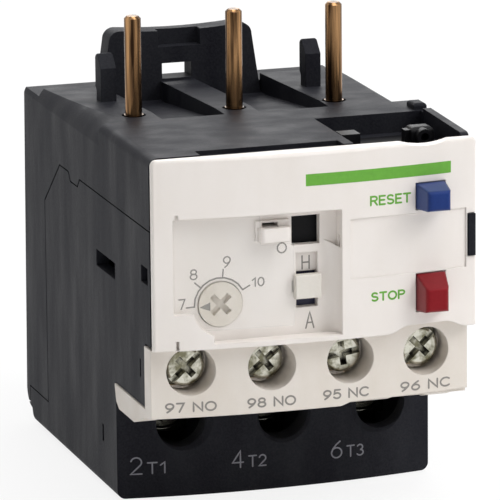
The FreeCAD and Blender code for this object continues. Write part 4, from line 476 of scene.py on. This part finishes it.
def ellipse(cx: float, cy: float, rx: float, ry: float, start: float, end: float) -> list[Point]:
    """Points along part of an ellipse, from start to end in degrees.

    Args:
        cx: centre across.
        cy: centre up.
        rx: half width.
        ry: half height.
        start: first angle.
        end: last angle; less than start turns clockwise.

    Returns:
        The points, both ends among them.
    """
    steps = max(4, round(abs(end - start) / 18))
    turns = [math.radians(start + (end - start) * i / steps) for i in range(steps + 1)]
    return [(cx + rx * math.cos(t), cy + ry * math.sin(t)) for t in turns]


def alphabet() -> dict[str, tuple[float, list[list[Point]]]]:
    """Draws the engraver's single-line letters, 1 high.

    Returns:
        For each letter, its width and its strokes.
    """
    six = [ellipse(0.3, 0.31, 0.3, 0.31, 90, 450),
           [(0.5, 1.0), (0.27, 0.8), (0.09, 0.57), (0.0, 0.33)]]
    nine = [[(0.6 - x, 1 - y) for x, y in stroke] for stroke in six]
    bowl = [(0.0, 1.0), (0.36, 1.0)] + ellipse(0.36, 0.75, 0.25, 0.25, 90, -90) + [(0.0, 0.5)]
    return {
        "0": (0.62, [ellipse(0.31, 0.5, 0.31, 0.5, 90, 450)]),
        "1": (0.34, [[(0.0, 0.74), (0.3, 1.0), (0.3, 0.0)]]),
        "2": (0.6, [ellipse(0.3, 0.71, 0.29, 0.29, 165, -35) + [(0.0, 0.0), (0.6, 0.0)]]),
        "3": (0.6, [ellipse(0.29, 0.76, 0.25, 0.24, 150, -90)
                    + ellipse(0.29, 0.26, 0.3, 0.26, 90, -150)]),
        "4": (0.64, [[(0.47, 0.0), (0.47, 1.0), (0.0, 0.3), (0.64, 0.3)]]),
        "5": (0.58, [[(0.54, 1.0), (0.1, 1.0), (0.05, 0.55)]
                     + ellipse(0.28, 0.32, 0.3, 0.32, 125, -150)]),
        "6": (0.6, six),
        "7": (0.56, [[(0.0, 1.0), (0.56, 1.0), (0.2, 0.0)]]),
        "8": (0.6, [ellipse(0.3, 0.76, 0.25, 0.24, 90, 450), ellipse(0.3, 0.27, 0.3, 0.27, 90, 450)]),
        "9": (0.6, nine),
        "A": (0.74, [[(0.0, 0.0), (0.37, 1.0), (0.74, 0.0)], [(0.13, 0.34), (0.61, 0.34)]]),
        "C": (0.74, [ellipse(0.42, 0.5, 0.42, 0.5, 48, 312)]),
        "E": (0.54, [[(0.54, 1.0), (0.0, 1.0), (0.0, 0.0), (0.54, 0.0)], [(0.0, 0.52), (0.48, 0.52)]]),
        "H": (0.66, [[(0.0, 0.0), (0.0, 1.0)], [(0.66, 0.0), (0.66, 1.0)], [(0.0, 0.5), (0.66, 0.5)]]),
        "N": (0.7, [[(0.0, 0.0), (0.0, 1.0), (0.7, 0.0), (0.7, 1.0)]]),
        "O": (0.82, [ellipse(0.41, 0.5, 0.41, 0.5, 90, 450)]),
        "P": (0.6, [[(0.0, 0.0)] + bowl]),
        "R": (0.62, [[(0.0, 0.0)] + bowl, [(0.33, 0.5), (0.62, 0.0)]]),
        "S": (0.6, [ellipse(0.3, 0.75, 0.28, 0.25, 35, 270)
                    + ellipse(0.3, 0.25, 0.3, 0.25, 90, -145)]),
        "T": (0.66, [[(0.0, 1.0), (0.66, 1.0)], [(0.33, 1.0), (0.33, 0.0)]]),
    }


@dataclass(frozen=True)
class Caption:
    """A word or number and the box that it fills on a face."""

    text: str
    left: float
    right: float
    low: float
    high: float
    pen: float = 0.2
    word_gap: float = 0.5
    letter_gap: float = 0.26

    def strokes(self) -> list[list[Point]]:
        """Lays the letters out and fits them to the box.

        Returns:
            The strokes in millimetres.
        """
        letters = alphabet()
        laid = []
        reach = 0.0
        for letter in self.text:
            if letter == " ":
                reach += self.word_gap
                continue
            width, strokes = letters[letter]
            laid += [[(reach + x, y) for x, y in stroke] for stroke in strokes]
            reach += width + self.letter_gap
        reach -= self.letter_gap
        left = self.left + self.pen / 2
        across = (self.right - self.left - self.pen) / reach
        up = self.high - self.low - self.pen
        low = self.low + self.pen / 2
        return [[(left + x * across, low + y * up) for x, y in stroke] for stroke in laid]


def fill_in(path: list[Point], step: float) -> list[Point]:
    """Adds points to a path so that none lie further apart than step.

    Args:
        path: the points.
        step: the largest gap in millimetres.

    Returns:
        The denser path, with no repeated point.
    """
    dense = [path[0]]
    for (x0, y0), (x1, y1) in zip(path, path[1:]):
        length = math.hypot(x1 - x0, y1 - y0)
        if length < 1e-5:
            continue
        count = max(1, math.ceil(length / step))
        dense += [(x0 + (x1 - x0) * i / count, y0 + (y1 - y0) * i / count)
                  for i in range(1, count + 1)]
    return dense


def stroke_rails(dense: list[Point], pen: float, closed: bool) -> list[tuple[Vector, Vector, Vector]]:
    """Works out a ribbon's middle, half width and direction at each point, with mitred bends.

    Args:
        dense: the path's points.
        pen: the ribbon's width.
        closed: whether the last point joins the first.

    Returns:
        For each point, its middle, the way to its left edge and the way along.
    """
    count = len(dense)
    rails = []
    for i, here in enumerate(dense):
        before = dense[i - 1] if i or closed else here
        after = dense[(i + 1) % count] if i < count - 1 or closed else here
        coming = Vector(here) - Vector(before)
        going = Vector(after) - Vector(here)
        first = coming.normalized() if coming.length > 1e-6 else going.normalized()
        second = going.normalized() if going.length > 1e-6 else first
        both = first + second
        along = both.normalized() if both.length > SHARPEST_TURN else second
        side = Vector((-along.y, along.x))
        mitre = 1 / max(LEAST_MITRE, abs(side.dot(Vector((-second.y, second.x)))))
        rails.append((Vector(here), side * pen / 2 * mitre, along))
    return rails


def round_off(rail: tuple[Vector, Vector, Vector], pen: float,
              way: int) -> list[tuple[Vector, Vector, Vector]]:
    """Gives a stroke a round end, from the rail outwards.

    Args:
        rail: the stroke's first or last rail.
        pen: the ribbon's width.
        way: 1 to go on along the stroke, -1 to go back.

    Returns:
        Two narrower rails.
    """
    middle, side, along = rail
    return [(middle + along * pen * reach * way, side * share, along) for reach, share in ROUND_END]


def draw_ribbon(bm: bmesh.types.BMesh, edges: list[tuple[Vector, Vector]], closed: bool,
                place: Place, rise: float) -> None:
    """Draws one closed raised ribbon between two edges.

    Args:
        bm: the mesh to add to.
        edges: the ribbon's left and right edge, or low and high edge, along its length.
        closed: whether the ribbon is a ring.
        place: gives the point for across, up and rise.
        rise: how far it stands out.
    """
    rows = []
    for left, right in edges:
        rows.append([bm.verts.new(place(p.x, p.y, h)) for p, h in
                     ((left, rise), (right, rise), (right, -INK_SINK), (left, -INK_SINK))])
    pairs = list(zip(rows, rows[1:])) + ([(rows[-1], rows[0])] if closed else [])
    for near, far in pairs:
        for k in range(4):
            bm.faces.new((near[k], near[(k + 1) % 4], far[(k + 1) % 4], far[k]))
    if not closed:
        bm.faces.new(rows[0][::-1])
        bm.faces.new(rows[-1])


def draw_stroke(bm: bmesh.types.BMesh, path: list[Point], pen: float, place: Place,
                rise: float) -> None:
    """Draws one stroke of ink along a path.

    Args:
        bm: the mesh to add to.
        path: its middle line, in millimetres; closed if its ends meet.
        pen: its width.
        place: gives the point for across, up and rise.
        rise: how far it stands out.
    """
    dense = fill_in(path, STROKE_STEP)
    closed = math.dist(dense[0], dense[-1]) < 1e-4
    if closed:
        dense = dense[:-1]
    rails = stroke_rails(dense, pen, closed)
    if not closed:
        rails = round_off(rails[0], pen, -1)[::-1] + rails + round_off(rails[-1], pen, 1)
    edges = [(middle + side, middle - side) for middle, side, _ in rails]
    draw_ribbon(bm, edges, closed, place, rise)


def draw_patch(bm: bmesh.types.BMesh, outline: list[Point], place: Place, rise: float) -> None:
    """Draws one four-sided patch of ink, cut into strips so that it follows the bowed front.

    Args:
        bm: the mesh to add to.
        outline: low left, low right, high right and high left corners, in millimetres.
        place: gives the point for across, up and rise.
        rise: how far it stands out.
    """
    low_left, low_right, high_right, high_left = (Vector(p) for p in outline)
    strips = max(1, math.ceil((low_right - low_left).length / PATCH_STEP))
    edges = [(low_left.lerp(low_right, i / strips), high_left.lerp(high_right, i / strips))
             for i in range(strips + 1)]
    draw_ribbon(bm, edges, False, place, rise)


@dataclass
class Print:
    """One print on one face: captions, plain lines and patches in one ink."""

    name: str
    node: str
    captions: tuple[Caption, ...] = ()
    lines: tuple[tuple[tuple[Point, ...], float], ...] = ()
    patches: tuple[tuple[Point, ...], ...] = ()
    body: Body = Body.HOUSING
    slot: str = "white_cover"
    rise: float = 0.012

    def build(self, frame: dict, ink: bpy.types.Material) -> bpy.types.Object:
        """Lays the print on its face.

        Args:
            frame: the loaded frame.
            ink: the ink's material.

        Returns:
            The piece.
        """
        surface = Surface(frame["nodes"][self.node])
        bm = bmesh.new()
        strokes = [(stroke, caption.pen) for caption in self.captions for stroke in caption.strokes()]
        strokes += [(list(path), pen) for path, pen in self.lines]
        for i, (stroke, pen) in enumerate(strokes):
            draw_stroke(bm, stroke, pen, surface.front, self.rise + INK_LAYER * (i % INK_LAYERS))
        for outline in self.patches:
            draw_patch(bm, list(outline), surface.front, self.rise)
        return finish_piece(self.name, bm, self.body, ink)


@dataclass
class FrontLegends:
    """Everything that is printed on the front."""

    dial_x: float = -13.15
    dial_z: float = 30.8
    scale_radius: float = 3.55
    scale_angles: tuple[float, ...] = (182, 138, 84, 28)
    tick: float = 1.1
    tick_pen: float = 0.2
    arc_pen: float = 0.22
    arrow: tuple[Point, ...] = ((-16.0, 30.57), (-14.6, 30.0), (-14.6, 31.2), (-16.0, 30.63))
    bar: tuple[Point, ...] = ((-1.93, 46.3), (18.74, 46.3), (18.74, 47.9), (-1.93, 47.9))
    scale_captions: tuple[Caption, ...] = (
        Caption("7", -18.9, -17.9, 30.4, 31.9, 0.19),
        Caption("8", -17.3, -16.2, 34.3, 35.8, 0.19),
        Caption("9", -12.7, -11.6, 35.6, 37.2, 0.19),
        Caption("10", -8.75, -6.97, 32.7, 34.0, 0.19),
        Caption("O", -5.27, -3.83, 36.92, 38.46),
        Caption("H", -1.62, -0.44, 34.33, 36.27),
        Caption("A", -1.39, -0.08, 26.39, 28.76),
    )
    key_words: tuple[Caption, ...] = (
        Caption("RESET", 7.0, 12.9, 42.85, 44.25, 0.26),
        Caption("STOP", 7.1, 12.0, 29.85, 31.15, 0.26),
    )
    control_numbers: tuple[Caption, ...] = (
        Caption("97 NO", -20.7, -13.8, 16.35, 17.75, 0.25),
        Caption("98 NO", -9.7, -3.0, 16.35, 17.75, 0.25),
        Caption("95 NC", 0.75, 7.3, 16.6, 18.0, 0.25),
        Caption("96 NC", 11.8, 19.2, 16.6, 18.0, 0.25),
    )
    load_marks: tuple[tuple[str, str, float], ...] = (
        ("2", "T1", -20.6), ("4", "T2", -6.6), ("6", "T3", 7.6))
    load_low: float = 3.3
    digit_height: float = 2.5
    digit_width: float = 1.7
    suffix_start: float = 2.3
    suffix_end: float = 4.9
    suffix_height: float = 1.7

    def tick_line(self, angle: float) -> tuple[tuple[Point, ...], float]:
        """Draws one short line outwards from the scale's arc.

        Args:
            angle: where on the arc, in degrees.

        Returns:
            The line and the width of its pen.
        """
        way = (math.cos(math.radians(angle)), math.sin(math.radians(angle)))
        ends = [(self.dial_x + way[0] * r, self.dial_z + way[1] * r)
                for r in (self.scale_radius, self.scale_radius + self.tick)]
        return (tuple(ends), self.tick_pen)

    def load_captions(self) -> tuple[Caption, ...]:
        """Sets each load number: a tall digit and a lower suffix after it.

        Returns:
            The captions.
        """
        captions = []
        for digit, suffix, left in self.load_marks:
            captions.append(Caption(digit, left, left + self.digit_width, self.load_low,
                                    self.load_low + self.digit_height))
            captions.append(Caption(suffix, left + self.suffix_start, left + self.suffix_end,
                                    self.load_low, self.load_low + self.suffix_height))
        return tuple(captions)

    def build(self, frame: dict, finishes: Finishes) -> None:
        """Prints the scale, the words, the terminal numbers and the bar.

        Args:
            frame: the loaded frame.
            finishes: the materials.
        """
        arc = tuple(ellipse(self.dial_x, self.dial_z, self.scale_radius, self.scale_radius,
                            self.scale_angles[0], self.scale_angles[-1]))
        lines = ((arc, self.arc_pen),) + tuple(self.tick_line(angle) for angle in self.scale_angles)
        cover, strip = "front_cover", "control_terminal_block"
        prints = (
            (Print("print_scale", cover, self.scale_captions, lines), finishes.grey_ink),
            (Print("print_dial_arrow", "setting_dial", patches=(self.arrow,), body=Body.DIAL,
                   slot="ivory_dial"), finishes.grey_ink),
            (Print("print_words", cover, self.key_words), finishes.green_ink),
            (Print("print_bar", cover, patches=(self.bar,)), finishes.green_ink),
            (Print("print_control_numbers", strip, self.control_numbers, slot="white_terminal"),
             finishes.grey_ink),
            (Print("print_power_numbers", "lower_housing", self.load_captions(), slot="dark_nylon"),
             finishes.pale_ink),
        )
        for legend, ink in prints:
            legend.build(frame, ink)


@dataclass(frozen=True)
class KeySpring:
    """The return spring behind a key: a copy of the frame's spring that stands on the housing."""

    node: str
    joint: str
    travel: float

    def build(self, frame: dict, finishes: Finishes) -> bpy.types.Object:
        """Copies the frame's spring where the frame has it, in spring steel, and hides the frame's
        node.

        Args:
            frame: the loaded frame.
            finishes: the materials.

        Returns:
            The piece.
        """
        mesh = frame["nodes"][self.node].data.copy()
        mesh.materials.clear()
        mesh.materials.append(finishes.slots["spring_steel"])
        coil = bpy.data.objects.new(f"{self.node}_coil", mesh)
        bpy.context.scene.collection.objects.link(coil)
        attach(coil, Body.HOUSING.value)
        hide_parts(self.node)
        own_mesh(coil)
        return coil


@dataclass
class Viewpoint:
    """The camera: where it stands, how it is turned and its lens."""

    azimuth: float = -17.63
    elevation: float = 13.48
    roll: float = -0.54
    eye: tuple[float, float, float] = (-222.03, -699.81, 206.40)
    lens: float = 396.0

    def build(self) -> bpy.types.Object:
        """Makes the scene's camera.

        Returns:
            The camera.
        """
        turn, lift, roll = (math.radians(a) for a in (self.azimuth, self.elevation, self.roll))
        back = Vector((math.sin(turn) * math.cos(lift), -math.cos(turn) * math.cos(lift),
                       math.sin(lift)))
        right = Vector((math.cos(turn), math.sin(turn), 0.0))
        up = back.cross(right)
        side = right * math.cos(roll) + up * math.sin(roll)
        top = up * math.cos(roll) - right * math.sin(roll)
        camera = bpy.data.objects.new("camera", bpy.data.cameras.new("camera"))
        bpy.context.scene.collection.objects.link(camera)
        camera.data.lens = self.lens
        camera.data.sensor_width = 36.0
        place = Matrix((side, top, back)).transposed().to_4x4()
        place.translation = Vector(self.eye) * MM
        camera.matrix_world = place
        bpy.context.scene.camera = camera
        return camera


@dataclass(frozen=True)
class Lamp:
    """A soft box: where it stands, what it faces, its size and its power."""

    name: str
    place: tuple[float, float, float]
    target: tuple[float, float, float]
    size: float
    power: float
    colour: str = "#ffffff"

    def build(self) -> None:
        """Hangs the lamp."""
        light = bpy.data.lights.new(self.name, "AREA")
        light.shape = "SQUARE"
        light.size = self.size
        light.energy = self.power
        light.color = linear(self.colour)[:3]
        lamp = bpy.data.objects.new(self.name, light)
        bpy.context.scene.collection.objects.link(lamp)
        lamp.location = self.place
        way = Vector(self.target) - Vector(self.place)
        lamp.rotation_euler = way.to_track_quat("-Z", "Y").to_euler()


@dataclass
class Studio:
    """A plain pale floor, a white surround and soft lamps."""

    floor_size: float = 6.0
    floor_drop: float = 0.0002
    floor_glow: float = 0.85
    sky_high: float = 0.42
    sky_low: float = 0.16
    lamps: tuple[Lamp, ...] = (
        Lamp("key", (0.6, -0.46, 0.66), (0.0, 0.0, 0.04), 0.5, 4.9),
        Lamp("top", (0.1, -0.3, 1.2), (0.0, 0.0, 0.03), 0.7, 5.6),
        Lamp("back", (0.25, 0.85, 0.7), (0.0, 0.0, 0.03), 0.9, 6.8),
    )

    def seen_rays(self, tree: bpy.types.NodeTree) -> bpy.types.NodeSocket:
        """Adds the nodes that tell rays of sight, gloss and glass from rays of light.

        Args:
            tree: the node tree to add to.

        Returns:
            A socket that is 1 for camera, glossy and transmission rays and 0 for the others.
        """
        path = add_node(tree, "ShaderNodeLightPath")
        sight = add_node(tree, "ShaderNodeMath", {"operation": "MAXIMUM"},
                         {0: path.outputs["Is Camera Ray"], 1: path.outputs["Is Glossy Ray"]})
        every = add_node(tree, "ShaderNodeMath", {"operation": "MAXIMUM"},
                         {0: sight.outputs[0], 1: path.outputs["Is Transmission Ray"]})
        return every.outputs[0]

    def build_floor(self) -> None:
        """Lays the floor: pale, and white where the camera sees it with no shadow."""
        half = self.floor_size / 2
        bm = bmesh.new()
        outline = ((-half, -half), (half, -half), (half, half), (-half, half))
        bm.faces.new([bm.verts.new((x, y, -self.floor_drop)) for x, y in outline])
        mesh = bpy.data.meshes.new("floor")
        bm.to_mesh(mesh)
        bm.free()
        material, tree = new_material("painted_board_white")
        place = add_node(tree, "ShaderNodeTexCoord").outputs["Object"]
        grain = add_node(tree, "ShaderNodeTexNoise", {"Scale": 400.0, "Detail": 2.0},
                         {"Vector": place})
        colour = add_node(tree, "ShaderNodeMix",
                          {"data_type": "RGBA", 6: linear("#f6f6f6"), 7: linear("#fbfbfb")},
                          {0: grain.outputs[0]})
        shader = add_node(tree, "ShaderNodeBsdfPrincipled", {"Roughness": 0.9},
                          {"Base Color": colour.outputs[2]})
        glow = add_node(tree, "ShaderNodeEmission", {"Color": (1, 1, 1, 1), "Strength": 1.0})
        share = add_node(tree, "ShaderNodeMath", {"operation": "MULTIPLY", 1: self.floor_glow},
                         {0: self.seen_rays(tree)})
        mix = add_node(tree, "ShaderNodeMixShader", None,
                       {0: share.outputs[0], 1: shader.outputs[0], 2: glow.outputs[0]})
        add_node(tree, "ShaderNodeOutputMaterial", None, {"Surface": mix.outputs[0]})
        mesh.materials.append(material)
        floor = bpy.data.objects.new("floor", mesh)
        bpy.context.scene.collection.objects.link(floor)

    def build_world(self) -> None:
        """Makes the surround: white to see, and softer from below to light by."""
        world = bpy.data.worlds.new("surround")
        bpy.context.scene.world = world
        world.use_nodes = True
        tree = world.node_tree
        tree.nodes.clear()
        way = add_node(tree, "ShaderNodeTexCoord").outputs["Generated"]
        parts = add_node(tree, "ShaderNodeSeparateXYZ", None, {0: way})
        level = add_node(tree, "ShaderNodeMapRange",
                         {1: -1.0, 2: 1.0, 3: self.sky_low, 4: self.sky_high},
                         {0: parts.outputs["Z"]})
        light = add_node(tree, "ShaderNodeBackground", {"Color": (1, 1, 1, 1)},
                         {"Strength": level.outputs[0]})
        seen = add_node(tree, "ShaderNodeBackground", {"Color": (1, 1, 1, 1), "Strength": 1.0})
        mix = add_node(tree, "ShaderNodeMixShader", None,
                       {0: self.seen_rays(tree), 1: light.outputs[0], 2: seen.outputs[0]})
        add_node(tree, "ShaderNodeOutputWorld", None, {"Surface": mix.outputs[0]})

    def build(self) -> None:
        """Sets the floor, the surround and the lamps."""
        self.build_floor()
        self.build_world()
        for lamp in self.lamps:
            lamp.build()


def main() -> None:
    """Loads the frame and builds each sub-assembly in order."""
    logging.basicConfig(level=logging.INFO, format="%(name)s: %(message)s")
    for old in list(bpy.data.objects):
        bpy.data.objects.remove(old)
    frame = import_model()
    bpy.context.scene.view_settings.view_transform = "Standard"
    finishes = Finishes()
    finishes.dress_frame(frame["nodes"])
    Viewpoint().build()
    Studio().build()
    FrontLegends().build(frame, finishes)
    KeySpring("reset_spring", "reset_press", 2.0).build(frame, finishes)
    KeySpring("stop_spring", "stop_press", 1.8).build(frame, finishes)


if __name__ == "__main__":
    main()
